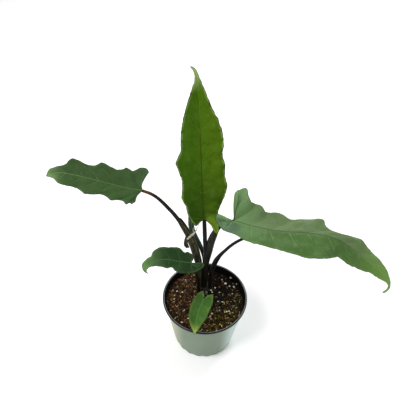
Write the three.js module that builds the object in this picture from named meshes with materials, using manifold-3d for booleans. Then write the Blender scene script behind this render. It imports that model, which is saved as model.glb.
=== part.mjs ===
// A young Alocasia lauterbachiana in a 12 cm nursery pot, in millimetres, +Z up.
// The origin is at the middle of the pot's underside, and the plant is seen from -Y.
import * as THREE from 'three';
import { mergeVertices } from 'three/addons/utils/BufferGeometryUtils.js';
import Module from 'manifold-3d';

const wasm = await Module();
wasm.setup();

// Driving dimensions of the pot
const POT_RIM_RADIUS = 60;
const POT_BASE_RADIUS = 44;
const POT_HEIGHT = 94;
const POT_WALL = 1.4;
const LIP_HEIGHT = 3;
const LIP_OVERHANG = 2.4;
const POT_SEGMENTS = 80;
const DRAIN_HOLES = 8;
const DRAIN_RADIUS = 4;
const DRAIN_CIRCLE = 33;
const FOOT_SCALLOPS = 20;
const FOOT_SCALLOP_DEPTH = 1;
const FOOT_SCALLOP_HEIGHT = 10;
const FOOT_CHAMFER = 1.5;
const LIP_ROUNDING = 0.8;
const WALL_TOP = POT_HEIGHT - LIP_HEIGHT;
const THROAT_RADIUS = POT_RIM_RADIUS - LIP_OVERHANG - POT_WALL;

// Driving dimensions of the soil and of the crown that the sheathed petioles stand on
const SOIL_LEVEL = 84;
const SOIL_RELIEF = 1.2;
const SOIL_SEGMENTS = 48;
const SOIL_RINGS = [1, 0.92, 0.78, 0.6, 0.4, 0.2];
const SOIL_CORE_RADIUS = 2;
const SOIL_FOOT_INSET = 4.5;
const SOIL_SHOULDER = 6;
const CROWN = { x: -1.5, y: 22.5, bottom: 60, top: 88, halfWidth: 12, halfDepth: 9, segments: 24 };

// Touching pieces keep this clearance, and a seat is a block this large at a blade's foot
const GAP = 0.3;
const SEAT_SIZE = 14;

// Blades are thin solids with a keel under the midrib that fades towards the tip
const BLADE_THICKNESS = 0.8;
const KEEL_HALF_WIDTH = 1.6;
const KEEL_DEPTH = 1.1;
const KEEL_TIP_DEPTH = 0.1;
const KEEL_LARGEST_SHARE = 0.25;
const KEEL_REACH_IN_LOBE = 20;
const MERGE_STEPS_PER_MM = 500;
const MIDRIB_END = 0.985;
const LOBE_ROWS = 4;
const TIP_CROWDING = 1.5;
const VEIN_SLANT = 0.3;
const LIFT_POWER = 1.6;

// Finishes: colour and roughness
const FINISHES = {
  pot: [0x8fa098, 0.55],
  soil: [0x2c1c12, 0.95],
  crown: [0x1c1d13, 0.6],
  darkPetiole: [0x191617, 0.45],
  charcoalSheath: [0x2a2a26, 0.5],
  oliveSheath: [0x34321f, 0.55],
  limeBlade: [0x4a6f12, 0.5],
  darkBlade: [0x2c4a24, 0.5],
  midBlade: [0x47703a, 0.45],
  blueBlade: [0x2a4a2c, 0.5],
  smallBlade: [0x3d6a2b, 0.5],
  rolledBlade: [0x3a5440, 0.5],
  dryRim: [0x8f8b76, 0.8],
};

// A blade is drawn in its own flat frame, where a point is [along, out, lift]: along the
// midrib from the petiole, out from the midrib to its own side, and lifted from the flat.
// A margin runs from near the leaf's tip to the tip of the basal lobe, the sinus edge runs
// from there back towards the petiole, and the costa is the rib of that lobe.
// The face is the way that the upper side looks, from the petiole to the tip.
const BLADES = {
  upright_leaf_blade: {
    finish: 'limeBlade',
    rows: 34,
    columns: [0.4, 0.75],
    fold: 0.12,
    face: [[0, -0.97, 0.24], [0, -0.97, 0.24]],
    midrib: [[-5.5, 20, 231], [-10, 35, 291], [-14, 49.5, 349], [-18, 61, 395], [-22, 65, 410.5],
      [-26.5, 66, 415]],
    right: {
      margin: [[190, 1.4, 0], [182, 3, 0], [170, 6, 0], [150, 13, 1], [141, 16.5, -1], [133, 21, 2],
        [116, 25.5, 0], [101, 26.5, 1.5], [89, 25, -2], [78, 28, 1], [63, 27.7, -1.5],
        [50, 30, 2], [39, 28, 1], [25, 23, -1], [13, 18.5, 0], [-3, 18.5, 0], [-13, 19, 1],
        [-21, 16, 1]],
      sinus: [[-17, 12, 1], [-8, 8, 0], [-2, 2.5, 0]],
      costa: [[-3.5, 7, 0], [-8, 12, 0.5], [-14.5, 15.2, 1]],
    },
    left: {
      margin: [[190, 1.2, 0], [178, 2.2, 0], [165, 8, 0], [143, 16, 1], [124, 21, -1], [108, 23, -1],
        [94, 24, -2], [82, 30, 2], [72, 28, 1], [53, 24.5, -2], [34, 26, 1], [21, 22, 0],
        [10, 20.5, -1], [-2, 16, 1], [-9, 10.5, 0]],
      sinus: [[-7, 8, 0], [-3, 4, 0]],
      costa: [[-2, 5.5, 0], [-5.5, 10, 0]],
    },
  },
  left_leaf_blade: {
    finish: 'darkBlade',
    rows: 24,
    columns: [0.4, 0.75],
    fold: 0.1,
    face: [[0, -0.6, 0.8], [0, -0.6, 0.8]],
    midrib: [[-81.5, 30, 267], [-105, 31, 270], [-130, 32, 277], [-164, 32, 286], [-181, 31, 289],
      [-195, 29, 284]],
    right: {
      margin: [[111.5, 6, 0], [103.5, 7.4, 0], [95.5, 10, 0], [89.5, 18.5, 2], [82.5, 18.5, 0],
        [72.5, 16, -1.5], [63.5, 16.5, -1], [54.5, 22, 2], [44.5, 20, 0], [34.5, 19.5, -2],
        [24.5, 24, 1.5], [15.5, 22, -1.5], [6.5, 27, 2], [-2, 26.5, 1], [-4.5, 22.5, 1]],
      sinus: [[-0.5, 14, 0], [1.6, 6, 0]],
      costa: [[3.2, 6, 0], [3, 13, 0.5], [0.5, 19.5, 1]],
    },
    left: {
      margin: [[110.5, 5, 0], [102.5, 13, 1], [93.5, 15, 1], [82.5, 15, -1], [74.5, 16, -1],
        [66.5, 20, 2], [57.5, 19, 1], [47.5, 16, -1], [40.5, 17, 0], [33.5, 20, 2],
        [25.5, 17, -1], [20.5, 17.5, 0], [16.5, 21, 1.5], [12.5, 18, 0], [10, 19.5, 1],
        [6, 15.5, 0]],
      sinus: [[5, 8, 0], [1.8, 3, 0]],
      costa: [[4, 4, 0], [7.5, 10, 0], [7.5, 13.5, 0]],
    },
  },
  right_leaf_blade: {
    finish: 'midBlade',
    rows: 50,
    columns: [0.4, 0.75],
    fold: -0.05,
    face: [[0, 0, 1], [0, -0.2, 1], [0, -0.4, 0.9], [0.2, -0.7, 0.7]],
    midrib: [[31, 6, 246], [51, 3, 242], [86, 1, 236], [124, 0, 236], [155.5, -3, 231],
      [196.5, -9, 204], [228, -13, 177], [238.3, -14.5, 163], [240.5, -16, 154.5],
      [237.5, -18, 149.5], [233, -19.5, 147.5]],
    right: {
      margin: [[254, 1.1, 0], [236, 2.8, 0], [222, 6.5, 0], [209, 9.5, 0], [194, 11, -1], [183, 15, 1],
        [170, 18, 1], [157, 21, 1], [146, 20, -1], [137, 20, -2], [128, 25, 0], [119, 30, 2], [104, 33, 1],
        [90, 33, -1], [80, 31, -1], [68, 29, 0], [53, 27, 1], [44, 25, 0], [28, 26, 1],
        [16, 24.5, 0], [5, 20.2, 0], [-3, 20.7, 0], [-13, 19.2, 0], [-18, 13, 0], [-23, 5, 0],
        [-22, -3, 1]],
      sinus: [[-17, -3, 1], [-10, -1, 1]],
      costa: [[-6, 4, 0], [-11, 5, 0], [-16, 2.5, 0.5]],
    },
    left: {
      margin: [[254, 1.1, 0], [243, 1.6, 0], [231, 3.8, 0], [213, 9, 0], [196, 12.4, 0], [178, 16, -1],
        [169, 17, 1], [160, 18, 2], [150, 16, 0], [133, 11, -1], [119, 11, -1], [113, 15, 0],
        [110, 21, 2], [105, 22, 2], [95, 21, 0], [78, 20, -1], [70, 20, 1], [65, 23, 3],
        [56, 26, 5], [42, 23, 5], [36, 22, 8], [31, 26, 12], [23, 26, 14], [14, 24, 18],
        [8, 29, 22], [5, 38, 24], [2, 39, 24], [-2.2, 34, 23], [-6.8, 30, 22]],
      sinus: [[-8.8, 23, 21], [-7, 13, 15], [-3, 3, 7]],
      costa: [[-1.5, 8, 8], [-2, 18, 17], [-4, 26, 21]],
    },
  },
  low_leaf_blade: {
    finish: 'blueBlade',
    rows: 20,
    columns: [0.55],
    fold: 0.05,
    face: [[0, -0.5, 0.86], [0, -0.5, 0.86]],
    midrib: [[-20, -12, 184], [-36, -13, 187], [-52, -14, 191], [-67, -16, 188], [-75, -18, 183],
      [-78, -20, 173], [-73, -22, 168]],
    right: {
      margin: [[71, 1, 0], [63, 6, 0], [57, 7, 0], [50, 8, -1], [45, 13, 1], [39, 15.5, 2],
        [31, 15.5, 0], [26, 17, -1], [18, 17.5, 1], [9, 12.5, 0], [6, 13.5, 1], [1, 12, 1],
        [-3, 7, 1]],
      sinus: [[-2.5, 3, 0]],
      costa: [[0, 3.5, 0], [-0.8, 6, 0.5]],
    },
    left: {
      margin: [[69, 2, 0], [56, 5, 0], [48, 6.5, -1], [39, 10, 1], [29, 12, 1], [22.5, 9, -1],
        [19, 13, 0], [14, 15.5, 2], [5, 15, 0], [-4, 13.5, -1], [-12, 9, 0], [-17.5, 4, 1],
        [-18, -0.5, 1]],
      sinus: [[-11, -2, 1], [-5, -0.5, 0]],
      costa: [[-6, 3.8, 0], [-12.5, 2.5, 0.5]],
    },
  },
  front_leaf_blade: {
    finish: 'smallBlade',
    rows: 14,
    columns: [0.55],
    fold: 0.1,
    face: [[0, 0, 1], [0, 0, 1]],
    midrib: [[-1, -25, 126], [-3, -31, 126], [-8, -48, 126], [-11, -62, 119], [-12, -68, 103]],
    right: {
      margin: [[46, 4.5, 0], [39, 8.5, 0], [32, 11, 1], [22, 12.5, -1], [11, 13, 0],
        [-1, 11, 0], [-6, 9.5, 0], [-10, 5, 0]],
      sinus: [[-5, 2, 0]],
      costa: [[-3, 3.3, 0], [-6.5, 4.7, 0]],
    },
    left: {
      margin: [[45, 5.5, 0], [37, 9.5, 0], [29, 13, 1], [25, 13.5, 1], [14, 14, -1], [4, 14, 1],
        [-3, 12, 0], [-9, 9.5, 0]],
      sinus: [[-6, 4, 0]],
      costa: [[-2.5, 4.5, 0], [-6, 7.5, 0]],
    },
  },
  under_leaf_blade: {
    finish: 'darkBlade',
    rows: 13,
    columns: [0.55],
    fold: 0.05,
    face: [[0, -0.1, 1], [0, -0.3, 1]],
    midrib: [[64, 3, 228], [85, 1, 229], [108, -1, 224], [128, -3, 213]],
    right: {
      margin: [[60, 4, 0], [48, 9, 1], [38, 11, -1], [27, 13, 1], [14, 13, -1], [3, 12.5, 0],
        [-6, 13, 0], [-11, 10, 0]],
      sinus: [[-8, 5, 0]],
      costa: [[-3, 4.5, 0], [-7.5, 8.5, 0]],
    },
    left: {
      margin: [[60, 4, 0], [48, 8, 1], [36, 11, -1], [26, 12.5, 1], [14, 12.5, -1], [4, 12, 0],
        [-6, 12, 0], [-11, 9, 0]],
      sinus: [[-8, 4.5, 0]],
      costa: [[-3, 4.5, 0], [-7.5, 7.8, 0]],
    },
  },
};

// Width of a sheath's groove in radians, and how gently it fades out along the stalk
const GROOVE_WIDTH = 0.45;
const GROOVE_FADE = 0.15;

// A stalk's knots are [x, y, z, half width, half depth]. A sheathed stalk has a groove along
// the edge of its sheath: it lies this many degrees from the right towards the front, and
// fades out at the given share of the stalk's length.
// A stalk is seated under the blade that it carries.
const STALKS = {
  right_leaf_petiole: {
    finish: 'charcoalSheath',
    sides: 14,
    steps: 24,
    groove: { at: 130, depth: 0.18, end: 0.62 },
    carries: 'right_leaf_blade',
    knots: [[-1.2, 22.5, 88.3, 3.7, 3.6], [-1.7, 20.5, 108, 3.6, 3.7], [-1.7, 19.4, 123, 3.8, 4],
      [-1.4, 18.2, 138.5, 4.2, 4.2], [-0.7, 17.3, 153, 4.9, 4.4], [0.4, 17, 164, 5.4, 4.4],
      [1.8, 17, 174.5, 5.6, 4.4], [3.2, 17.3, 184.5, 5.5, 4.2], [5.1, 18, 194, 5.2, 3.9],
      [7.7, 19.4, 203, 4.8, 3.4], [10.4, 20.2, 211, 3.8, 3], [14.8, 19.4, 219.5, 2.6, 2.5],
      [21.8, 14.2, 230, 2.1, 2.1], [28, 8.5, 239.5, 2, 2], [30.8, 6, 246, 2, 2]],
  },
  left_leaf_petiole: {
    finish: 'oliveSheath',
    sides: 14,
    steps: 28,
    groove: { at: 60, depth: 0.18, end: 0.5 },
    carries: 'left_leaf_blade',
    knots: [[-8, 20.5, 88.3, 3.4, 3.5], [-8.8, 18.6, 112, 3.2, 3.6], [-9.9, 17.2, 137, 3.9, 4],
      [-11.5, 16.4, 153, 5.1, 4.3], [-13.7, 16, 164.5, 5.4, 4.3], [-15.7, 15.9, 175, 5.6, 4.2],
      [-18.2, 16, 185, 5.4, 4], [-20.9, 16.2, 194.5, 5.4, 3.8], [-23.5, 16.8, 203, 5.2, 3.5],
      [-28, 17.7, 211.5, 4.3, 3.1], [-32.4, 18.7, 219.5, 3.6, 2.8], [-36, 19.6, 226, 2.9, 2.5],
      [-39.3, 20.5, 231, 2.6, 2.4], [-45, 22, 239, 2.5, 2.4], [-51, 23.5, 246, 2.4, 2.3],
      [-58, 26, 253, 2.3, 2.2], [-64.8, 28.5, 258, 2.1, 2.1], [-72.2, 30.5, 261.6, 2, 2],
      [-82.5, 32.2, 264.4, 1.9, 1.9]],
  },
  upright_leaf_petiole: {
    finish: 'darkPetiole',
    sides: 10,
    steps: 9,
    carries: 'upright_leaf_blade',
    knots: [[-1, 15.7, 158, 2.4, 2.4], [-2, 15.7, 175, 2.5, 2.5], [-3.1, 16.2, 190, 2.7, 2.6],
      [-3.7, 17.8, 203, 2.8, 2.7], [-4.7, 20.8, 219.5, 2.7, 2.6], [-5.5, 23.4, 232, 2.4, 2.4]],
  },
  under_leaf_petiole: {
    finish: 'darkPetiole',
    sides: 10,
    steps: 22,
    groove: { at: 120, depth: 0.15, end: 0.4 },
    carries: 'under_leaf_blade',
    knots: [[6.5, 20.5, 88.3, 3.2, 3.2], [6.2, 18, 109.5, 3.1, 3.2], [7.1, 16, 128.5, 3.1, 3.3],
      [9.5, 14, 144.5, 3.5, 3.3], [12.8, 12, 160.5, 3.5, 3], [17.2, 10.2, 173.5, 2.8, 2.4],
      [22.8, 8.3, 185.5, 2.2, 2.2], [28.6, 6.3, 197, 2.1, 2.1], [35.5, 4.5, 207.7, 2, 2],
      [43.5, 3.5, 216, 1.9, 1.9], [53, 3, 221.3, 1.8, 1.8], [65.5, 3.2, 225.2, 1.6, 1.6]],
  },
  low_leaf_petiole: {
    finish: 'darkPetiole',
    sides: 8,
    steps: 10,
    carries: 'low_leaf_blade',
    knots: [[-9.5, 11.5, 76, 2.3, 2.3], [-9.8, 10.5, 95, 2.2, 2.2], [-11, 8, 115, 2, 2],
      [-13.5, 2, 145, 1.8, 1.8], [-17, -6, 169, 1.7, 1.7], [-20.8, -11, 184, 1.6, 1.6]],
  },
  front_leaf_petiole: {
    finish: 'darkPetiole',
    sides: 8,
    steps: 9,
    carries: 'front_leaf_blade',
    knots: [[-4.5, 9.5, 76, 2, 2], [-4.6, 8, 90, 1.9, 1.9], [-4.6, 3, 103, 1.8, 1.8],
      [-2.6, -10, 114, 1.6, 1.6], [-1.2, -21, 121, 1.5, 1.5], [-1, -25.5, 126, 1.5, 1.5]],
  },
  rolled_leaf: {
    finish: 'rolledBlade',
    sides: 10,
    steps: 14,
    knots: [[-4.9, 28, 88.3, 1.6, 1.6], [-4.1, 27.5, 108, 1.7, 1.7], [-3.5, 26.3, 133, 1.8, 1.8],
      [-4.5, 25.8, 151, 2.2, 2], [-7.3, 25.5, 166.5, 3, 2.3], [-11.4, 25.5, 179, 3.3, 2.4],
      [-15.7, 25.7, 190, 3.4, 2.5], [-19.7, 26.5, 200.5, 3.7, 2.5],
      [-21.9, 28, 210.5, 3.8, 2.5], [-22.5, 30, 221.5, 3.6, 2.4], [-23.8, 33, 238, 0.8, 0.8]],
  },
};

// The dry rim that is left of the left leaf's sheath: a narrow strip round the sheath's front
const DRY_RIM = {
  knots: [[-26.2, 12.6, 200.7], [-22.5, 11.6, 206.5], [-19.4, 11.8, 211], [-16.7, 13.2, 214],
    [-14.5, 15, 217.5], [-12.8, 15.5, 222.5], [-11.4, 16.6, 226.4]],
  halfWidths: [1.4, 1.5, 1.6, 1.2, 0.6, 0.45, 0.4],
  halfThickness: 0.4,
  steps: 12,
};

const UP = new THREE.Vector3(0, 0, 1);
const FRONT = new THREE.Vector3(0, -1, 0);

function curveThrough(points) {
  const curve = new THREE.CatmullRomCurve3(points.map(([x, y, z]) => new THREE.Vector3(x, y, z)));
  curve.arcLengthDivisions = 400;
  return curve;
}

function meshFromTriangles(positions, indices) {
  const geometry = new THREE.BufferGeometry();
  geometry.setAttribute('position', new THREE.Float32BufferAttribute(positions, 3));
  geometry.setIndex(indices);
  geometry.computeVertexNormals();
  return geometry;
}

// Solids for the cuts
function solidOf(geometry) {
  const bare = geometry.clone();
  bare.deleteAttribute('normal');
  bare.deleteAttribute('uv');
  const merged = mergeVertices(bare);
  return new wasm.Manifold(new wasm.Mesh({
    numProp: 3,
    vertProperties: new Float32Array(merged.attributes.position.array),
    triVerts: new Uint32Array(merged.index.array),
  }));
}

function geometryOf(solid) {
  const { vertProperties, triVerts } = solid.getMesh();
  return meshFromTriangles(Array.from(vertProperties), Array.from(triVerts));
}

// A cut can leave a scrap on the far side, so only the largest body is kept
function largestBody(solid) {
  return solid.decompose().reduce((best, body) => (body.volume() > best.volume() ? body : best));
}

// One side of a blade, with its lobe, as rows of flat points from the ribs out to the edge
class Side {
  constructor(blade, outline, side) {
    const flip = ([along, out, lift]) => [along, out * side, lift];
    const lobeTip = outline.margin[outline.margin.length - 1];
    this.side = side;
    this.midribEnd = blade.length * MIDRIB_END;
    this.margin = curveThrough([[blade.length, 0, 0], ...outline.margin].map(flip));
    this.sinus = curveThrough([lobeTip, ...outline.sinus, [0, 0, 0]].map(flip));
    this.costa = curveThrough([[0, 0, 0], ...outline.costa].map(flip));
    this.reach = this.midribEnd + this.costa.getLength();
  }

  // Veins leave the midrib towards the tip, so the edge runs ahead of the ribs
  marginPoint(distance) {
    const share = distance / this.reach;
    const slanted = 1 + VEIN_SLANT;
    const root = Math.sqrt(slanted * slanted - 4 * VEIN_SLANT * share);
    return this.margin.getPointAt(Math.min((slanted - root) / (2 * VEIN_SLANT), 1));
  }

  rows(count) {
    const rows = [];
    for (let k = 0; k <= count; k += 1) {
      const along = this.midribEnd * (1 - (k / count) ** TIP_CROWDING);
      rows.push([new THREE.Vector3(along, 0, 0), this.marginPoint(this.midribEnd - along)]);
    }
    for (let k = 1; k <= LOBE_ROWS; k += 1) {
      const share = k / LOBE_ROWS;
      const distance = this.midribEnd + share * (this.reach - this.midribEnd);
      rows.push([this.costa.getPointAt(share), this.marginPoint(distance)]);
    }
    for (let k = LOBE_ROWS - 1; k >= 0; k -= 1) {
      const share = k / LOBE_ROWS;
      rows.push([this.costa.getPointAt(share), this.sinus.getPointAt(1 - share)]);
    }
    return rows;
  }
}

// Twice the area that three flat points turn round, positive to the left
function flatTurn(p, q, r) {
  return (q.x - p.x) * (r.y - p.y) - (q.y - p.y) * (r.x - p.x);
}

class Blade {
  constructor(spec) {
    this.spec = spec;
    this.midrib = curveThrough(spec.midrib);
    this.face = curveThrough(spec.face);
    this.length = this.midrib.getLength();
    this.sides = [new Side(this, spec.right, 1), new Side(this, spec.left, -1)];
  }

  // The directions along, out to the right and up from the blade, at a share of its midrib
  axes(share) {
    const ahead = this.midrib.getTangentAt(share);
    const across = ahead.clone().cross(this.face.getPoint(share)).normalize();
    return [ahead, across, across.clone().cross(ahead)];
  }

  // A flat point's place in space
  place(flat) {
    const held = THREE.MathUtils.clamp(flat.x, 0, this.length);
    const [ahead, across, up] = this.axes(held / this.length);
    return this.midrib.getPointAt(held / this.length)
      .addScaledVector(ahead, flat.x - held)
      .addScaledVector(across, flat.y)
      .addScaledVector(up, flat.z + this.spec.fold * Math.abs(flat.y));
  }

  // What its stalk gives way to: a block from just under the keel's foot upwards
  seat() {
    const block = new THREE.BoxGeometry(SEAT_SIZE, SEAT_SIZE, SEAT_SIZE);
    block.translate(0, 0, SEAT_SIZE / 2 - BLADE_THICKNESS / 2 - KEEL_DEPTH - GAP);
    const [ahead, across, up] = this.axes(0);
    const turn = new THREE.Matrix4().makeBasis(across, ahead, up);
    return block.applyMatrix4(turn.setPosition(this.midrib.getPoint(0)));
  }

  // The middle surface: points, how deep the keel is under each, and triangles
  surface() {
    const points = [];
    const flats = [];
    const keels = [];
    const triangles = [];
    const seen = new Map();
    const add = (flat, keel) => {
      const key = flat.toArray().map((value) => Math.round(value * MERGE_STEPS_PER_MM)).join();
      if (!seen.has(key)) {
        seen.set(key, points.length);
        points.push(this.place(flat));
        flats.push(flat);
        keels.push(keel);
      }
      return seen.get(key);
    };
    for (const side of this.sides) {
      const grid = side.rows(this.spec.rows).map(([rib, edge]) => {
        const width = Math.max(rib.distanceTo(edge), 1e-6);
        const keelShare = Math.min(KEEL_HALF_WIDTH / width, KEEL_LARGEST_SHARE);
        const fade = THREE.MathUtils.clamp(rib.x / this.length, 0, 1);
        const inLobe = Math.abs(rib.y) / KEEL_REACH_IN_LOBE;
        const keel = THREE.MathUtils.lerp(KEEL_DEPTH, KEEL_TIP_DEPTH, Math.min(fade + inLobe, 1));
        return [0, keelShare, ...this.spec.columns, 1].map((share) => {
          const flat = rib.clone().lerp(edge, share);
          flat.z = rib.z + (edge.z - rib.z) * share ** LIFT_POWER;
          return add(flat, share === 0 ? keel : 0);
        });
      });
      for (let row = 1; row < grid.length; row += 1) {
        for (let column = 1; column < grid[row].length; column += 1) {
          const [a, b] = [grid[row - 1][column - 1], grid[row - 1][column]];
          const [c, d] = [grid[row][column], grid[row][column - 1]];
          const turns = ([p, q, r]) => side.side * flatTurn(flats[p], flats[q], flats[r]);
          const splits = [[[a, d, c], [a, c, b]], [[a, d, b], [b, d, c]]];
          const [first, second] = splits.map((pair) => Math.max(...pair.map(turns)));
          for (const triangle of splits[first <= second ? 0 : 1]) {
            if (new Set(triangle).size === 3) {
              triangles.push(side.side > 0 ? triangle : triangle.reverse());
            }
          }
        }
      }
    }
    return { points, keels, triangles };
  }

  // The blade as a closed solid, with both faces split into the same triangles
  geometry() {
    const { points, keels, triangles } = this.surface();
    const sheet = meshFromTriangles(points.flatMap((point) => point.toArray()), triangles.flat());
    const normals = sheet.attributes.normal;
    const half = BLADE_THICKNESS / 2;
    const positions = [];
    for (const reach of [() => half, (k) => -half - keels[k]]) {
      points.forEach((point, k) => {
        const normal = new THREE.Vector3().fromBufferAttribute(normals, k);
        positions.push(...point.clone().addScaledVector(normal, reach(k)).toArray());
      });
    }
    const below = points.length;
    const edges = new Map();
    const indices = [];
    for (const [a, b, c] of triangles) {
      indices.push(a, b, c, c + below, b + below, a + below);
      for (const [from, to] of [[a, b], [b, c], [c, a]]) {
        if (!edges.delete(`${to},${from}`)) {
          edges.set(`${from},${to}`, [from, to]);
        }
      }
    }
    for (const [from, to] of edges.values()) {
      indices.push(to, from, from + below, to, from + below, to + below);
    }
    return meshFromTriangles(positions, indices);
  }
}

// A closed loft of rings, each a list of the same number of points
function loft(rings) {
  const count = rings[0].length;
  const positions = rings.flat().flatMap((point) => point.toArray());
  const indices = [];
  for (let ring = 1; ring < rings.length; ring += 1) {
    for (let k = 0; k < count; k += 1) {
      const next = (k + 1) % count;
      const [a, b] = [(ring - 1) * count + k, (ring - 1) * count + next];
      const [c, d] = [ring * count + next, ring * count + k];
      indices.push(a, b, c, a, c, d);
    }
  }
  for (const [ring, turn] of [[0, -1], [rings.length - 1, 1]]) {
    const centre = positions.length / 3;
    const middle = rings[ring].reduce((sum, point) => sum.add(point), new THREE.Vector3());
    positions.push(...middle.divideScalar(count).toArray());
    for (let k = 0; k < count; k += 1) {
      const pair = [ring * count + k, ring * count + ((k + 1) % count)];
      indices.push(centre, ...(turn > 0 ? pair : pair.reverse()));
    }
  }
  return meshFromTriangles(positions, indices);
}

function stalkGeometry(spec, extra = 0) {
  const path = curveThrough(spec.knots);
  const widths = curveThrough(spec.knots.map(([, , , width, depth]) => [width, depth, 0]));
  const rings = [];
  for (let step = 0; step <= spec.steps; step += 1) {
    const t = step / spec.steps;
    const ahead = step === 0 ? UP.clone() : path.getTangent(t);
    const beyond = { 0: -extra, [spec.steps]: extra }[step] ?? 0;
    const centre = path.getPoint(t).addScaledVector(ahead, beyond);
    const side = ahead.clone().cross(FRONT).normalize();
    const front = side.clone().cross(ahead);
    const reach = widths.getPoint(t);
    const groove = spec.groove ?? { at: 0, depth: 0, end: 1 };
    const fade = THREE.MathUtils.smoothstep(t, groove.end - GROOVE_FADE, groove.end);
    const depth = groove.depth * (1 - fade);
    const ring = [];
    for (let k = 0; k < spec.sides; k += 1) {
      const angle = (2 * Math.PI * k) / spec.sides;
      const away = (angle + THREE.MathUtils.degToRad(groove.at)) % (2 * Math.PI);
      const nearest = Math.min(away, 2 * Math.PI - away);
      const share = 1 - depth * Math.exp(-((nearest / GROOVE_WIDTH) ** 2));
      ring.push(centre.clone()
        .addScaledVector(side, Math.cos(angle) * (reach.x * share + extra))
        .addScaledVector(front, -Math.sin(angle) * (reach.y * share + extra)));
    }
    rings.push(ring);
  }
  return loft(rings);
}

function dryRimGeometry() {
  const path = curveThrough(DRY_RIM.knots);
  const widths = curveThrough(DRY_RIM.halfWidths.map((width) => [width, 0, 0]));
  const rings = [];
  for (let step = 0; step <= DRY_RIM.steps; step += 1) {
    const t = step / DRY_RIM.steps;
    const ahead = path.getTangent(t);
    const across = ahead.clone().cross(FRONT).normalize();
    const out = across.clone().cross(ahead);
    const width = widths.getPoint(t).x;
    rings.push([[1, 1], [1, -1], [-1, -1], [-1, 1]].map(([right, front]) => path.getPoint(t)
      .addScaledVector(across, right * width)
      .addScaledVector(out, front * DRY_RIM.halfThickness)));
  }
  return loft(rings);
}

// The outside of the pot's wall at a height
function wallRadius(height) {
  return THREE.MathUtils.lerp(POT_BASE_RADIUS, THROAT_RADIUS + POT_WALL, height / WALL_TOP);
}

// The pot's wall, floor and lip in one turned profile, with a scalloped foot
function potGeometry() {
  const floorRadius = POT_BASE_RADIUS - POT_WALL;
  const profile = [
    [0, 0], [POT_BASE_RADIUS - 1, 0], [POT_BASE_RADIUS, FOOT_CHAMFER],
    [wallRadius(FOOT_SCALLOP_HEIGHT), FOOT_SCALLOP_HEIGHT],
    [THROAT_RADIUS + POT_WALL, WALL_TOP], [POT_RIM_RADIUS, WALL_TOP + LIP_ROUNDING / 2],
    [POT_RIM_RADIUS, POT_HEIGHT - LIP_ROUNDING], [POT_RIM_RADIUS - LIP_ROUNDING, POT_HEIGHT],
    [THROAT_RADIUS + LIP_ROUNDING, POT_HEIGHT], [THROAT_RADIUS, POT_HEIGHT - LIP_ROUNDING],
    [THROAT_RADIUS, WALL_TOP - 1],
    [wallRadius(FOOT_SCALLOP_HEIGHT) - POT_WALL, FOOT_SCALLOP_HEIGHT],
    [floorRadius - 0.3, POT_WALL + 0.6], [floorRadius - 1.5, POT_WALL],
    [0, POT_WALL],
  ];
  const turned = new THREE.LatheGeometry(profile.map(([r, z]) => new THREE.Vector2(r, z)), POT_SEGMENTS);
  turned.rotateX(Math.PI / 2);
  const position = turned.attributes.position;
  for (let k = 0; k < position.count; k += 1) {
    const [x, y, z] = [position.getX(k), position.getY(k), position.getZ(k)];
    const radius = Math.hypot(x, y);
    const low = 1 - THREE.MathUtils.smoothstep(z, FOOT_CHAMFER, FOOT_SCALLOP_HEIGHT);
    const wave = 0.5 + 0.5 * Math.cos(FOOT_SCALLOPS * Math.atan2(y, x));
    const clear = DRAIN_CIRCLE + DRAIN_RADIUS + 1;
    const edge = THREE.MathUtils.smoothstep(radius, clear, POT_BASE_RADIUS - 3);
    const scale = radius > 0 ? 1 - (FOOT_SCALLOP_DEPTH * low * wave * edge) / radius : 1;
    position.setXY(k, x * scale, y * scale);
  }
  let pot = solidOf(turned);
  for (let k = 0; k < DRAIN_HOLES; k += 1) {
    const angle = (2 * Math.PI * (k + 0.5)) / DRAIN_HOLES;
    const drill = new THREE.CylinderGeometry(DRAIN_RADIUS, DRAIN_RADIUS, 4 * POT_WALL, 16);
    drill.rotateX(Math.PI / 2);
    drill.translate(DRAIN_CIRCLE * Math.cos(angle), DRAIN_CIRCLE * Math.sin(angle), POT_WALL / 2);
    pot = pot.subtract(solidOf(drill));
  }
  return geometryOf(pot);
}

// How far the soil lies above its mean level: low lumps that die out at the wall
function soilRelief(x, y) {
  const lumps = Math.sin(x / 7 + 1) * Math.cos(y / 9) + 0.6 * Math.sin((x + y) / 4.3 + 2);
  const edge = Math.hypot(x, y) / POT_RIM_RADIUS;
  return SOIL_RELIEF * lumps * (1 - edge ** 4) - 2 * edge ** 6;
}

function soilGeometry(stems) {
  const around = (radius, height) => {
    const ring = [];
    for (let k = 0; k < SOIL_SEGMENTS; k += 1) {
      const angle = (2 * Math.PI * k) / SOIL_SEGMENTS;
      const [x, y] = [radius * Math.cos(angle), radius * Math.sin(angle)];
      ring.push(new THREE.Vector3(x, y, height(x, y)));
    }
    return ring;
  };
  const inside = (height) => wallRadius(height) - POT_WALL;
  const top = (x, y) => SOIL_LEVEL + soilRelief(x, y);
  const floor = () => POT_WALL + GAP;
  const foot = FOOT_SCALLOP_HEIGHT + 2;
  const shoulder = SOIL_LEVEL - SOIL_SHOULDER;
  const topRadius = inside(SOIL_LEVEL - 2) - 2 * GAP;
  const rings = [
    around(SOIL_CORE_RADIUS, floor),
    around(inside(0) - SOIL_FOOT_INSET, floor),
    around(inside(foot) - 3 * GAP, () => foot),
    around(inside(shoulder) - 2 * GAP, () => shoulder),
    ...SOIL_RINGS.map((share) => around(topRadius * share, top)),
    around(SOIL_CORE_RADIUS, top),
  ];
  let soil = solidOf(loft(rings));
  for (const stem of stems) {
    soil = soil.subtract(stem);
  }
  return geometryOf(largestBody(soil));
}

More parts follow.
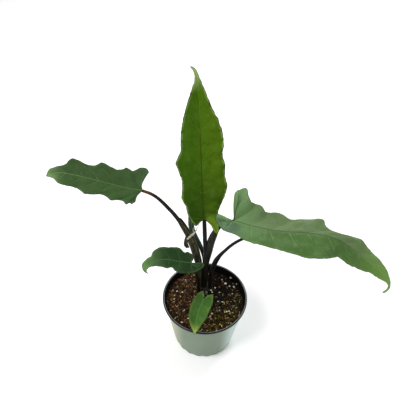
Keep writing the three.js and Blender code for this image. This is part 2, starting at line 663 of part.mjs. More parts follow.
function crownGeometry(extra = 0) {
  const ring = (share, height) => {
    const points = [];
    for (let k = 0; k < CROWN.segments; k += 1) {
      const angle = (2 * Math.PI * k) / CROWN.segments;
      const scar = 1 + 0.04 * Math.cos(5 * angle + height / 6);
      points.push(new THREE.Vector3(
        CROWN.x + (CROWN.halfWidth * share * scar + extra) * Math.cos(angle),
        CROWN.y + (CROWN.halfDepth * share * scar + extra) * Math.sin(angle),
        height,
      ));
    }
    return points;
  };
  return loft([
    ring(0.6, CROWN.bottom - extra), ring(0.95, CROWN.bottom + 6), ring(1, SOIL_LEVEL - 4),
    ring(1, SOIL_LEVEL + 2), ring(0.95, CROWN.top + extra),
  ]);
}

const group = new THREE.Group();

function addPiece(name, geometry, finish) {
  const [color, roughness] = FINISHES[finish];
  const material = new THREE.MeshStandardMaterial({ color, roughness, metalness: 0 });
  const mesh = new THREE.Mesh(geometry, material);
  mesh.name = name;
  group.add(mesh);
}

const blades = {};
for (const [name, spec] of Object.entries(BLADES)) {
  blades[name] = new Blade(spec);
  addPiece(name, blades[name].geometry(), spec.finish);
}

// The newest leaf's petiole stands in the mouth of the older sheath next to it
const newestPetiole = solidOf(stalkGeometry(STALKS.upright_leaf_petiole, GAP));
for (const [name, spec] of Object.entries(STALKS)) {
  let stalk = solidOf(stalkGeometry(spec));
  if (spec.carries) {
    stalk = stalk.subtract(solidOf(blades[spec.carries].seat()));
  }
  if (name === 'right_leaf_petiole') {
    stalk = stalk.subtract(newestPetiole);
  }
  addPiece(name, geometryOf(largestBody(stalk)), spec.finish);
}

const leftSheath = solidOf(stalkGeometry(STALKS.left_leaf_petiole, GAP));
const dryRim = solidOf(dryRimGeometry()).subtract(leftSheath);
addPiece('dry_sheath_rim', geometryOf(largestBody(dryRim)), 'dryRim');

addPiece('crown', crownGeometry(), 'crown');
addPiece('soil', soilGeometry([
  solidOf(crownGeometry(GAP)),
  solidOf(stalkGeometry(STALKS.low_leaf_petiole, GAP)),
  solidOf(stalkGeometry(STALKS.front_leaf_petiole, GAP)),
]), 'soil');
addPiece('pot', potGeometry(), 'pot');

export default group;
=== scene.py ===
"""A young potted Alocasia lauterbachiana: the fine leaves, stalks, soil and pot round its frame.

The makers work in millimetres, +Z up, with the plant seen from -Y and above, and the meshes
are in metres.
"""

import math

import bpy
import numpy as np
from bpy.props import FloatProperty, FloatVectorProperty, IntProperty, PointerProperty
from mathutils import Matrix, Vector, noise


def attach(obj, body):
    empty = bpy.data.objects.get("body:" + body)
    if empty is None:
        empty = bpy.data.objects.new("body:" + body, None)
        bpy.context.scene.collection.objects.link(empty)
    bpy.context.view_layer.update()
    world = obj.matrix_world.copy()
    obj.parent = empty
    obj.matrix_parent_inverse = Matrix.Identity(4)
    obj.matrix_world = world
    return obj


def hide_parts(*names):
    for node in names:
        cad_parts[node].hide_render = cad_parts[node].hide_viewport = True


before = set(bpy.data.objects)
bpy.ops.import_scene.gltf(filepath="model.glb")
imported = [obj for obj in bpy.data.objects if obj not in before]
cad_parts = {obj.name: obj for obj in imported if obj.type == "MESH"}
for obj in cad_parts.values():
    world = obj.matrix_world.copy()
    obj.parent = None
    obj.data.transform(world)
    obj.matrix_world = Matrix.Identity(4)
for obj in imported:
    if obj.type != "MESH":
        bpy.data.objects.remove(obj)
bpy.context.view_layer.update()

bl_info = {
    "name": "Potted Alocasia",
    "version": (1, 0, 0),
    "blender": (4, 5, 0),
    "location": "3D View > Sidebar > Alocasia",
    "description": "Builds a young potted Alocasia with waved blades, sheathed stalks and soil",
    "category": "Object",
}

BODY = "root"
MM = 0.001
FRONT = np.array([0.0, -1.0, 0.0])


def linear(hexcode):
    """A colour written as on screen, as the linear red, green and blue that a shader takes."""
    channels = [int(hexcode[k : k + 2], 16) / 255 for k in (0, 2, 4)]
    return tuple(c / 12.92 if c <= 0.04045 else ((c + 0.055) / 1.055) ** 2.4 for c in channels)


# Blades are drawn flat: a point is (along the midrib, out from it, lifted), in millimetres.
# A margin runs from near the leaf's tip to the basal lobe's tip, the sinus edge from there to
# the petiole, and the costa is the rib of that lobe. Veins is the number of side veins. The
# face is the way that the upper side looks, and the fold lifts both halves from the midrib.
# A look has the colours of the two halves, the foot, tip, right lobe, veins, midrib, underside and
# edge. The halves' colours differ partly by painted light: one half painted lighter or darker by
# how the light falls, and the right leaf's far half painted with a grey sheen. The foot's colour is
# painted shade by the petiole, painted lighter on the right leaf where its back lobe faces the
# light, and it also serves as a darker mottling. Shine is how strongly it reflects and gloss how
# rough it is, veining and fringe say how strongly the veins and the pale edge show, halves is how
# far from the midrib the halves' colours blend, and base_to and tip_from are the shares of the
# length where the foot's colour ends and the tip's starts.
BLADES = {
    "upright_leaf_blade": {
        "slot": "lime_leaf",
        "fold": 0.12,
        "face": [(0, -0.97, 0.24), (0, -0.97, 0.24)],
        "midrib": [(-5.5, 20, 231), (-10, 35, 291), (-14, 49.5, 349), (-18, 61, 395),
                   (-22, 65, 410.5), (-26.5, 66, 415)],
        "right": {
            "margin": [(190, 1.4, 0), (182, 3, 0), (170, 6, 0), (150, 13, 1), (141, 16.5, -1),
                       (133, 21, 2), (116, 25.5, 0), (101, 26.5, 1.5), (89, 25, -2), (78, 28, 1),
                       (63, 27.7, -1.5), (50, 30, 2), (39, 28, 1), (25, 23, -1), (13, 18.5, 0),
                       (-3, 18.5, 0), (-13, 19, 1), (-21, 16, 1)],
            "sinus": [(-17, 12, 1), (-8, 8, 0), (-2, 2.5, 0)],
            "costa": [(-3.5, 7, 0), (-8, 12, 0.5), (-14.5, 15.2, 1)],
        },
        "left": {
            "margin": [(190, 1.2, 0), (178, 2.2, 0), (165, 8, 0), (143, 16, 1), (124, 21, -1),
                       (108, 23, -1), (94, 24, -2), (82, 30, 2), (72, 28, 1), (53, 24.5, -2),
                       (34, 26, 1), (21, 22, 0), (10, 20.5, -1), (-2, 16, 1), (-9, 10.5, 0)],
            "sinus": [(-7, 8, 0), (-3, 4, 0)],
            "costa": [(-2, 5.5, 0), (-5.5, 10, 0)],
        },
        "veins": 9,
        "look": {"left": "37590a", "right": "43600a", "base": "1b3403", "tip": "93a86a",
                 "lobe": "5f7a1c", "vein": "5f8420", "rib": "33300f", "under": "6a5a3a",
                 "border": "2b2a12", "shine": 0.03, "veining": 0.3, "gloss": 0.5,
                 "tip_from": 0.84, "halves": 11, "base_to": 0.5, "fringe": 0.4},
    },
    "left_leaf_blade": {
        "slot": "dark_leaf",
        "fold": 0.1,
        "face": [(0, -0.6, 0.8), (0, -0.6, 0.8)],
        "midrib": [(-81.5, 30, 267), (-105, 31, 270), (-130, 32, 277), (-164, 32, 286),
                   (-181, 31, 289), (-195, 29, 284)],
        "right": {
            "margin": [(111.5, 6, 0), (103.5, 7.4, 0), (95.5, 10, 0), (89.5, 18.5, 2),
                       (82.5, 18.5, 0), (72.5, 16, -1.5), (63.5, 16.5, -1), (54.5, 22, 2),
                       (44.5, 20, 0), (34.5, 19.5, -2), (24.5, 24, 1.5), (15.5, 22, -1.5),
                       (6.5, 27, 2), (-2, 26.5, 1), (-4.5, 22.5, 1)],
            "sinus": [(-0.5, 14, 0), (1.6, 6, 0)],
            "costa": [(3.2, 6, 0), (3, 13, 0.5), (0.5, 19.5, 1)],
        },
        "left": {
            "margin": [(110.5, 5, 0), (102.5, 13, 1), (93.5, 15, 1), (82.5, 15, -1),
                       (74.5, 16, -1), (66.5, 20, 2), (57.5, 19, 1), (47.5, 16, -1),
                       (40.5, 17, 0), (33.5, 20, 2), (25.5, 17, -1), (20.5, 17.5, 0),
                       (16.5, 21, 1.5), (12.5, 18, 0), (10, 19.5, 1), (6, 15.5, 0)],
            "sinus": [(5, 8, 0), (1.8, 3, 0)],
            "costa": [(4, 4, 0), (7.5, 10, 0), (7.5, 13.5, 0)],
        },
        "veins": 6,
        "look": {"left": "2e4a1c", "right": "2c471b", "base": "284319", "tip": "68874f",
                 "lobe": "2a4720", "vein": "7fa068", "rib": "547039", "under": "5a3f45",
                 "border": "18241a", "shine": 0.2, "veining": 0.3, "gloss": 0.5,
                 "tip_from": 0.8, "halves": 3, "base_to": 0.3, "fringe": 0.12},
    },
    "right_leaf_blade": {
        "slot": "mid_leaf",
        "fold": -0.05,
        "face": [(0, 0, 1), (0, -0.2, 1), (0, -0.4, 0.9), (0.2, -0.7, 0.7)],
        "midrib": [(31, 6, 246), (51, 3, 242), (86, 1, 236), (124, 0, 236), (155.5, -3, 231),
                   (196.5, -9, 204), (228, -13, 177), (238.3, -14.5, 163), (240.5, -16, 154.5),
                   (237.5, -18, 149.5), (233, -19.5, 147.5)],
        "right": {
            "margin": [(254, 1.1, 0), (236, 2.8, 0), (222, 6.5, 0), (209, 9.5, 0), (194, 11, -1),
                       (183, 15, 1), (170, 18, 1), (157, 21, 1), (146, 20, -1), (137, 20, -2),
                       (128, 25, 0), (119, 30, 2), (104, 33, 1), (90, 33, -1), (80, 31, -1),
                       (68, 29, 0), (53, 27, 1), (44, 25, 0), (28, 26, 1), (16, 24.5, 0),
                       (5, 20.2, 0), (-3, 20.7, 0), (-13, 19.2, 0), (-18, 13, 0), (-23, 5, 0),
                       (-22, -3, 1)],
            "sinus": [(-17, -3, 1), (-10, -1, 1)],
            "costa": [(-6, 4, 0), (-11, 5, 0), (-16, 2.5, 0.5)],
        },
        "left": {
            "margin": [(254, 1.1, 0), (243, 1.6, 0), (231, 3.8, 0), (213, 9, 0), (196, 12.4, 0),
                       (178, 16, -1), (169, 17, 1), (160, 18, 2), (150, 16, 0), (133, 11, -1),
                       (119, 11, -1), (113, 15, 0), (110, 21, 2), (105, 22, 2), (95, 21, 0),
                       (78, 20, -1), (70, 20, 1), (65, 23, 3), (56, 26, 5), (42, 23, 5),
                       (36, 22, 8), (31, 26, 12), (23, 26, 14), (14, 24, 18), (8, 29, 22),
                       (5, 38, 24), (2, 39, 24), (-2.2, 34, 23), (-6.8, 30, 22)],
            "sinus": [(-8.8, 23, 21), (-7, 13, 15), (-3, 3, 7)],
            "costa": [(-1.5, 8, 8), (-2, 18, 17), (-4, 26, 21)],
        },
        "veins": 10,
        "look": {"left": "53693f", "right": "395b1f", "base": "618752", "tip": "6e9c34",
                 "lobe": "304d33", "vein": "86aa60", "rib": "2a3c1c", "under": "5a3f45",
                 "border": "182a1c", "shine": 0.26, "veining": 0.42, "gloss": 0.42,
                 "tip_from": 0.52, "halves": 4, "base_to": 0.2, "fringe": 0.22},
    },
    "low_leaf_blade": {
        "slot": "dark_leaf",
        "fold": 0.05,
        "face": [(0, -0.5, 0.86), (0, -0.5, 0.86)],
        "midrib": [(-20, -12, 184), (-36, -13, 187), (-52, -14, 191), (-67, -16, 188),
                   (-75, -18, 183), (-78, -20, 173), (-73, -22, 168)],
        "right": {
            "margin": [(71, 1, 0), (63, 6, 0), (57, 7, 0), (50, 8, -1), (45, 13, 1),
                       (39, 15.5, 2), (31, 15.5, 0), (26, 17, -1), (18, 17.5, 1), (9, 12.5, 0),
                       (6, 13.5, 1), (1, 12, 1), (-3, 7, 1)],
            "sinus": [(-2.5, 3, 0)],
            "costa": [(0, 3.5, 0), (-0.8, 6, 0.5)],
        },
        "left": {
            "margin": [(69, 2, 0), (56, 5, 0), (48, 6.5, -1), (39, 10, 1), (29, 12, 1),
                       (22.5, 9, -1), (19, 13, 0), (14, 15.5, 2), (5, 15, 0), (-4, 13.5, -1),
                       (-12, 9, 0), (-17.5, 4, 1), (-18, -0.5, 1)],
            "sinus": [(-11, -2, 1), (-5, -0.5, 0)],
            "costa": [(-6, 3.8, 0), (-12.5, 2.5, 0.5)],
        },
        "veins": 5,
        "look": {"left": "1f3c18", "right": "1d3815", "base": "15290e", "tip": "6b9451",
                 "lobe": "1a3414", "vein": "56804c", "rib": "3d6030", "under": "5a3f45",
                 "border": "101c0e", "shine": 0.14, "veining": 0.28, "gloss": 0.5,
                 "tip_from": 0.42, "halves": 3, "base_to": 0.3, "fringe": 0.15},
    },
    "front_leaf_blade": {
        "slot": "mid_leaf",
        "fold": 0.1,
        "face": [(0, 0, 1), (0, 0, 1)],
        "midrib": [(-1, -25, 126), (-3, -31, 126), (-8, -48, 126), (-11, -62, 119),
                   (-12, -68, 103)],
        "right": {
            "margin": [(46, 4.5, 0), (39, 8.5, 0), (32, 11, 1), (22, 12.5, -1), (11, 13, 0),
                       (-1, 11, 0), (-6, 9.5, 0), (-10, 5, 0)],
            "sinus": [(-5, 2, 0)],
            "costa": [(-3, 3.3, 0), (-6.5, 4.7, 0)],
        },
        "left": {
            "margin": [(45, 5.5, 0), (37, 9.5, 0), (29, 13, 1), (25, 13.5, 1), (14, 14, -1),
                       (4, 14, 1), (-3, 12, 0), (-9, 9.5, 0)],
            "sinus": [(-6, 4, 0)],
            "costa": [(-2.5, 4.5, 0), (-6, 7.5, 0)],
        },
        "veins": 5,
        "look": {"left": "375d1a", "right": "305316", "base": "2a4b17", "tip": "a9c04e",
                 "lobe": "2a4c18", "vein": "4c7838", "rib": "4c7638", "under": "5b5a40",
                 "border": "33501c", "shine": 0.15, "veining": 0.35, "gloss": 0.45,
                 "tip_from": 0.62, "halves": 3, "base_to": 0.3, "fringe": 0.1},
    },
    "under_leaf_blade": {
        "slot": "dark_leaf",
        "fold": 0.05,
        "face": [(0, -0.1, 1), (0, -0.3, 1)],
        "midrib": [(64, 3, 228), (85, 1, 229), (108, -1, 224), (128, -3, 213)],
        "right": {
            "margin": [(60, 4, 0), (48, 9, 1), (38, 11, -1), (27, 13, 1), (14, 13, -1),
                       (3, 12.5, 0), (-6, 13, 0), (-11, 10, 0)],
            "sinus": [(-8, 5, 0)],
            "costa": [(-3, 4.5, 0), (-7.5, 8.5, 0)],
        },
        "left": {
            "margin": [(60, 4, 0), (48, 8, 1), (36, 11, -1), (26, 12.5, 1), (14, 12.5, -1),
                       (4, 12, 0), (-6, 12, 0), (-11, 9, 0)],
            "sinus": [(-8, 4.5, 0)],
            "costa": [(-3, 4.5, 0), (-7.5, 7.8, 0)],
        },
        "veins": 5,
        "look": {"left": "304d1d", "right": "2e4a1c", "base": "294419", "tip": "557040",
                 "lobe": "2a4720", "vein": "6f9058", "rib": "58753f", "under": "5a3f45",
                 "border": "18241a", "shine": 0.2, "veining": 0.45, "gloss": 0.5,
                 "tip_from": 0.8, "halves": 3, "base_to": 0.3, "fringe": 0.12},
    },
}

# How the ribs and veins lie on a blade, as shares of its length or width
MIDRIB_END = 0.985
VEIN_SLANT = 0.3
VEIN_ARCH = 0.03
VEIN_CROWDING = 1.12
LOBE_VEINS = 2

# A blade's relief in millimetres, and the power by which the lift grows to the edge
LIFT_POWER = 1.6
EDGE_NIBBLE = 0.8
RIPPLE = 1.8
VEIN_HALF_WIDTH = 0.8
KEEL_HALF_WIDTH = 1.1
GROOVE_HALF_WIDTH = 0.7
GROOVE_DEPTH = 0.35
RAISED_VEIN = 1.2
EDGE_BEVEL = 1.2
EDGE_THINNING = 0.35
THINNEST = 0.15

# Where a blade's rows and columns stand: towards its tip, between two veins, beside the rib,
# and out to the edge
TIP_ROWS = 25
TIP_CROWDING = 1.6
VEIN_STEPS = (0, 0.03, 0.07, 0.13, 0.22, 0.35, 0.5, 0.65, 0.78, 0.87, 0.93, 0.97)
RIB_STEPS = (0, 0.4, 0.8, 1.3, 1.9, 2.7)
ACROSS_STEPS = 15
EDGE_STEP = 0.985

# A stalk's knots are (x, y, z, half width, half depth). Its seam is the edge of the sheath:
# degrees from the right towards the front, its depth as a share of the half width, and the
# share of the length where it ends. Its shoulder is the height of the sheath's mouth and how
# far it stands out to the right.
# A look has the colours of the skin, its mottling and the sheath's edge, and where a stalk
# changes colour on its way up, the heights from or to which it does.
STALKS = {
    "right_leaf_petiole": {
        "slot": "charcoal_sheath",
        "knots": [(-1.2, 22.5, 88.3, 3.7, 3.6), (-1.7, 20.5, 108, 3.6, 3.7),
                  (-1.7, 19.4, 123, 3.8, 4), (-1.4, 18.2, 138.5, 4.2, 4.2),
                  (-0.7, 17.3, 153, 4.9, 4.4), (0.4, 17, 164, 5.4, 4.4),
                  (1.8, 17, 174.5, 5.6, 4.4), (3.2, 17.3, 184.5, 5.5, 4.2),
                  (5.1, 18, 194, 5.2, 3.9), (7.7, 19.4, 203, 4.8, 3.4),
                  (10.4, 20.2, 211, 3.8, 3), (14.8, 19.4, 219.5, 2.6, 2.5),
                  (21.8, 14.2, 230, 2.1, 2.1), (28, 8.5, 239.5, 2, 2), (30.8, 6, 246, 2, 2)],
        "seam": {"at": 132, "depth": 0.16, "end": 0.66},
        "look": {"skin": "12120e", "mottle": "24241c", "edge": "5b5a49", "gloss": 0.42,
                 "shine": 0.12},
    },
    "left_leaf_petiole": {
        "slot": "olive_sheath",
        "knots": [(-8, 20.5, 88.3, 3.4, 3.5), (-8.8, 18.6, 112, 3.2, 3.6),
                  (-9.9, 17.2, 137, 3.9, 4), (-11.5, 16.4, 153, 5.1, 4.3),
                  (-13.7, 16, 164.5, 5.4, 4.3), (-15.7, 15.9, 175, 5.6, 4.2),
                  (-18.2, 16, 185, 5.4, 4), (-20.9, 16.2, 194.5, 5.4, 3.8),
                  (-23.5, 16.8, 203, 5.2, 3.5), (-28, 17.7, 211.5, 4.3, 3.1),
                  (-32.4, 18.7, 219.5, 3.6, 2.8), (-36, 19.6, 226, 2.9, 2.5),
                  (-39.3, 20.5, 231, 2.6, 2.4), (-45, 22, 239, 2.5, 2.4),
                  (-51, 23.5, 246, 2.4, 2.3), (-58, 26, 253, 2.3, 2.2),
                  (-64.8, 28.5, 258, 2.1, 2.1), (-72.2, 30.5, 261.6, 2, 2),
                  (-82.5, 32.2, 264.4, 1.9, 1.9)],
        "seam": {"at": 58, "depth": 0.18, "end": 0.62},
        "shoulder": {"height": 229, "out": 1.6},
        "look": {"skin": "17150a", "mottle": "3d3f22", "edge": "6d6d4c", "gloss": 0.45,
                 "shine": 0.12, "upper_skin": "0c0808", "upper_from": 226,
                 "top_skin": "5a3018", "top_from": 263.4},
    },
    "upright_leaf_petiole": {
        "slot": "petiole",
        "knots": [(-1, 15.7, 158, 2.4, 2.4), (-2, 15.7, 175, 2.5, 2.5),
                  (-3.1, 16.2, 190, 2.7, 2.6), (-3.7, 17.8, 203, 2.8, 2.7),
                  (-4.7, 20.8, 219.5, 2.7, 2.6), (-5.5, 23.4, 232, 2.4, 2.4)],
        "look": {"skin": "080607", "mottle": "120e0e", "edge": "080607", "gloss": 0.3,
                 "shine": 0.1},
    },
    "under_leaf_petiole": {
        "slot": "petiole",
        "knots": [(6.5, 20.5, 88.3, 3.2, 3.2), (6.2, 18, 109.5, 3.1, 3.2),
                  (7.1, 16, 128.5, 3.1, 3.3), (9.5, 14, 144.5, 3.5, 3.3),
                  (12.8, 12, 160.5, 3.5, 3), (17.2, 10.2, 173.5, 2.8, 2.4),
                  (22.8, 8.3, 185.5, 2.2, 2.2), (28.6, 6.3, 197, 2.1, 2.1),
                  (35.5, 4.5, 207.7, 2, 2), (43.5, 3.5, 216, 1.9, 1.9),
                  (53, 3, 221.3, 1.8, 1.8), (65.5, 3.2, 225.2, 1.6, 1.6)],
        "seam": {"at": 120, "depth": 0.15, "end": 0.42},
        "look": {"skin": "0b0a08", "mottle": "1a1913", "edge": "3a3a30", "gloss": 0.36,
                 "shine": 0.1},
    },
    "low_leaf_petiole": {
        "slot": "petiole",
        "knots": [(-9.5, 11.5, 76, 2.3, 2.3), (-9.8, 10.5, 95, 2.2, 2.2), (-11, 8, 115, 2, 2),
                  (-13.5, 2, 145, 1.8, 1.8), (-17, -6, 169, 1.7, 1.7), (-20.8, -11, 184, 1.6, 1.6)],
        "look": {"skin": "0f0d0b", "mottle": "1f1c17", "edge": "0f0d0b", "gloss": 0.4,
                 "shine": 0.1},
    },
    "front_leaf_petiole": {
        "slot": "petiole",
        "knots": [(-4.5, 9.5, 76, 2, 2), (-4.6, 8, 90, 1.9, 1.9), (-4.6, 3, 103, 1.8, 1.8),
                  (-2.6, -10, 114, 1.6, 1.6), (-1.2, -21, 121, 1.5, 1.5),
                  (-1, -25.5, 126, 1.5, 1.5)],
        "look": {"skin": "0d0e0a", "mottle": "1b1f14", "edge": "0d0e0a", "gloss": 0.4,
                 "shine": 0.1},
    },
    "rolled_leaf": {
        "slot": "dark_leaf",
        "knots": [(-4.9, 28, 88.3, 1.6, 1.6), (-4.1, 27.5, 108, 1.7, 1.7),
                  (-3.5, 26.3, 133, 1.8, 1.8), (-4.5, 25.8, 151, 2.2, 2),
                  (-7.3, 25.5, 166.5, 3, 2.3), (-11.4, 25.5, 179, 3.3, 2.4),
                  (-15.7, 25.7, 190, 3.4, 2.5), (-19.7, 26.5, 200.5, 3.7, 2.5),
                  (-21.9, 28, 210.5, 3.8, 2.5), (-22.5, 30, 221.5, 3.6, 2.4),
                  (-23.8, 33, 238, 0.8, 0.8)],
        "seam": {"at": 75, "depth": 0.3, "end": 1.2},
        "look": {"skin": "2b4031", "mottle": "465a45", "edge": "7f977f", "gloss": 0.5,
                 "shine": 0.15, "lower_skin": "1a2418", "lower_to": 178},
    },
}
STALK_SIDES = 40
STALK_STEP = 1.6
STALK_SINK = 4
SHEATH_MOUTH = 26

# The dry rim on the left leaf's sheath and its torn thread: knots (x, y, z, half width)
DRY_RIM = [(-26.2, 12.6, 200.7, 1.4), (-22.5, 11.6, 206.5, 1.5), (-19.4, 11.8, 211, 1.6),
           (-16.7, 13.2, 214, 1.2), (-14.5, 15, 217.5, 0.6), (-12.8, 15.5, 222.5, 0.45),
           (-11.4, 16.6, 226.4, 0.4)]
DRY_TWIG = [(-17.6, 12.6, 212.6, 0.5), (-18.6, 13, 217, 0.45), (-18.3, 14, 221.5, 0.3)]

# The loose lobe at the edge of the left leaf's sheath: where it is held, and its outer edge
FLAP_ROOT = [(-27.2, 14.6, 205.5), (-26.3, 14.2, 198.5), (-25.2, 13.8, 191.5),
             (-23.2, 13.6, 182.5)]
FLAP_EDGE = [(-28.6, 14.4, 204), (-30.4, 13.4, 195.5), (-30.2, 13, 187), (-27, 13.2, 181.6)]

# Half thicknesses of the dry rim, its thread and the lobe, how much thinner the lobe is at its
# outer edge, and how deep it is cupped
RIM_HALF_THICKNESS = 0.3
TWIG_HALF_THICKNESS = 0.2
FLAP_HALF_THICKNESS = 0.35
FLAP_THINNING = 0.22
FLAP_CUP = 0.9

# The crown that the sheaths stand on, and the pot and soil round it. The fine wall is the
# thickness that shows.
CROWN = {"x": -1.5, "y": 22.5, "bottom": 60, "top": 88, "half_width": 12, "half_depth": 9}
POT_RIM_RADIUS = 60
POT_BASE_RADIUS = 44
POT_HEIGHT = 94
POT_WALL = 1.4
FINE_WALL = 0.7
LIP_HEIGHT = 3
LIP_OVERHANG = 2.4
FOOT_SCALLOPS = 20
FOOT_SCALLOP_DEPTH = 1
FOOT_SCALLOP_HEIGHT = 10
DRAIN_HOLES = 8
DRAIN_RADIUS = 4
DRAIN_CIRCLE = 33
SOIL_LEVEL = 84
SOIL_RADIUS = 55.5
SOIL_RELIEF = 1.2
CRUMB_RELIEF = 1.3
WALL_TOP = POT_HEIGHT - LIP_HEIGHT
THROAT_RADIUS = POT_RIM_RADIUS - LIP_OVERHANG - POT_WALL
LIP_ROUND = 0.9
FOOT_ROUND = 1.4
DRILL_DEPTH = 12

# How many sides and rings the round pieces have, and the angle in degrees that stays sharp
POT_SIDES = 160
SOIL_SIDES = 168
SOIL_RINGS = 48
CROWN_SIDES = 72
CROWN_RINGS = 40
DRILL_SIDES = 32
STRIP_RINGS = 60
FLAP_RINGS = 30
CREASE_ANGLE = 40

# White grains that lie free on the soil: (x, y, radius)
PERLITE = [(37.5, 41, 1.9), (29.6, 28.5, 2.0), (35.5, 25.2, 1.4), (41.7, 24.6, 2.0),
           (14.2, 22.3, 1.5), (8.4, 16.7, 1.6), (2, 12.8, 1.5), (10, 12.4, 1.3),
           (20.9, 13.8, 1.2), (39.9, 12.2, 1.3), (19, -1.8, 1.2), (25.2, -2.4, 1.3),
           (-41, 12.3, 1.3), (-32.9, 11, 1.4), (34.8, -17.7, 1.5), (31.3, -18.7, 1.3),
           (10.9, -22.2, 1.7), (-30.9, -37.9, 1.5), (21.1, -17.6, 1.2), (-22, -33, 1.2),
           (46, 31, 1.1), (24, 36, 1.0), (-12, 40, 1.5), (-30, 33, 1.3), (5, 46, 1.4)]

# Moss greens the front right part of the soil: the factors of its red, green and blue
MOSS_TINT = (1.2, 1.32, 1.0)

# The smallest and largest share of a grain's size, and a whole turn in radians
GRAIN_SIZES = (0.5, 1.35)
WHOLE_TURN = 6.283

# The camera: its place, its pitch and roll in degrees, and its lens for a 36 mm sensor
CAMERA_AT = (-1.2, -393.7, 666.8)
CAMERA_PITCH = 45.1
CAMERA_ROLL = 2.5
CAMERA_LENS = 41.54

# The studio: the floor's half side in metres, the world's strength, and each lamp's place,
# side and power
FLOOR_HALF = 3.0
WORLD_STRENGTH = 0.6
LAMPS = {"key": ((-0.8, -0.5, 1.5), 0.7, 21), "back": ((0.5, 1.1, 1.1), 1.0, 15)}
LAMPS_LOOK_AT = (0, 0, 0.15)


class PlantSizes(bpy.types.PropertyGroup):
    """The fine sizes of the leaves and stalks"""

    blade_thickness: FloatProperty(
        name="Blade thickness", description="Thickness of a leaf's blade between its veins",
        default=0.6 * MM, min=0.0002, unit="LENGTH")
    vein_depth: FloatProperty(
        name="Vein depth", description="How deep the side veins lie in a blade's upper side",
        default=0.3 * MM, min=0, unit="LENGTH")
    quilting: FloatProperty(
        name="Quilting", description="How far a blade bulges between two side veins",
        default=0.7 * MM, min=0, unit="LENGTH")
    keel_depth: FloatProperty(
        name="Keel depth", description="Depth of the midrib under a blade's foot",
        default=1.2 * MM, min=0, unit="LENGTH")


class PlantColours(bpy.types.PropertyGroup):
    """Tints over the leaves' and soil's own colours"""

    leaf_tint: FloatVectorProperty(
        name="Leaf tint", description="Multiplies the colours of all blades",
        default=(1, 1, 1), min=0, max=2, subtype="COLOR")
    sheath_tint: FloatVectorProperty(
        name="Stalk tint", description="Multiplies the colours of all stalks and sheaths",
        default=(1, 1, 1), min=0, max=2, subtype="COLOR")
    peat: FloatVectorProperty(
        name="Peat", description="Colour of the dark potting mix",
        default=linear("150c07"), min=0, max=1, subtype="COLOR")
    pot_wall: FloatVectorProperty(
        name="Pot wall", description="Colour of the pot's outside",
        default=linear("73836f"), min=0, max=1, subtype="COLOR")
    pot_black: FloatVectorProperty(
        name="Pot black", description="Colour of the pot's lip and inside",
        default=linear("060607"), min=0, max=1, subtype="COLOR")


class SoilSizes(bpy.types.PropertyGroup):
    """What lies on the soil"""

    crumb_size: FloatProperty(
        name="Crumb size", description="Radius of a crumb of peat",
        default=1.25 * MM, min=0.0003, unit="LENGTH")
    crumb_density: FloatProperty(
        name="Crumbs", description="Crumbs of peat per square metre of soil",
        default=300000, min=0)
    lump_density: FloatProperty(
        name="Lumps", description="Larger lumps of peat per square metre of soil",
        default=26000, min=0)
    chip_density: FloatProperty(
        name="Bark chips", description="Chips of bark per square metre of soil",
        default=52000, min=0)
    fibre_density: FloatProperty(
        name="Fibres", description="Fibres per square metre of soil",
        default=70000, min=0)
    straw_density: FloatProperty(
        name="Straw bits", description="Pale bits of straw per square metre of soil",
        default=90000, min=0)
    moss_density: FloatProperty(
        name="Moss", description="Moss shoots per square metre where moss grows",
        default=520000, min=0)
    speck_density: FloatProperty(
        name="Perlite specks", description="Small grains of perlite per square metre of soil",
        default=6000, min=0)
    seed: IntProperty(
        name="Seed", description="Seed of everything scattered on the soil", default=7)


# Curves through knots


class Curve:
    """A smooth curve through knots of three values, without loops where they crowd."""

    def __init__(self, knots):
        knots = np.array(knots, float)
        self.knots = np.vstack([2 * knots[0] - knots[1], knots, 2 * knots[-1] - knots[-2]])
        self.spans = len(knots) - 1
        self.marks = np.linspace(0, 1, 401)
        points = self.at(self.marks)
        self.lengths = np.r_[0, np.cumsum(np.linalg.norm(np.diff(points, axis=0), axis=1))]
        self.length = self.lengths[-1]

    def at(self, share):
        """The points at these shares of the knots' count."""
        place = np.clip(np.atleast_1d(share), 0, 1) * self.spans
        first = np.minimum(place.astype(int), self.spans - 1)
        w = (place - first)[:, None]
        a, b, c, d = (self.knots[first + k] for k in range(4))
        gaps = [np.sqrt(np.maximum(np.linalg.norm(q - p, axis=1), 1e-9))[:, None]
                for p, q in ((a, b), (b, c), (c, d))]
        enter = ((b - a) / gaps[0] - (c - a) / (gaps[0] + gaps[1]) + (c - b) / gaps[1]) * gaps[1]
        leave = ((c - b) / gaps[1] - (d - b) / (gaps[1] + gaps[2]) + (d - c) / gaps[2]) * gaps[1]
        bend = -3 * b + 3 * c - 2 * enter - leave
        return b + enter * w + bend * w**2 + (2 * b - 2 * c + enter + leave) * w**3

    def along(self, distance):
        """The points at these distances along the curve."""
        return self.at(np.interp(distance, self.lengths, self.marks))

    def heading(self, distance):
        """The unit directions at these distances along the curve."""
        held = np.clip(np.atleast_1d(distance), 0.05, self.length - 0.05)
        return unit(self.along(held + 0.05) - self.along(held - 0.05))


def unit(vectors):
    """Vectors of length 1."""
    vectors = np.asarray(vectors, float)
    return vectors / np.maximum(np.linalg.norm(vectors, axis=-1, keepdims=True), 1e-12)


def smoothstep(low, high, value):
    """0 below low, 1 above high, and smooth between them."""
    share = np.clip((np.asarray(value, float) - low) / (high - low), 0, 1)
    return share * share * (3 - 2 * share)


def bell(distance, width):
    """1 at no distance, falling to nothing past about two widths."""
    return np.exp(-((np.asarray(distance, float) / width) ** 2))


# Meshes


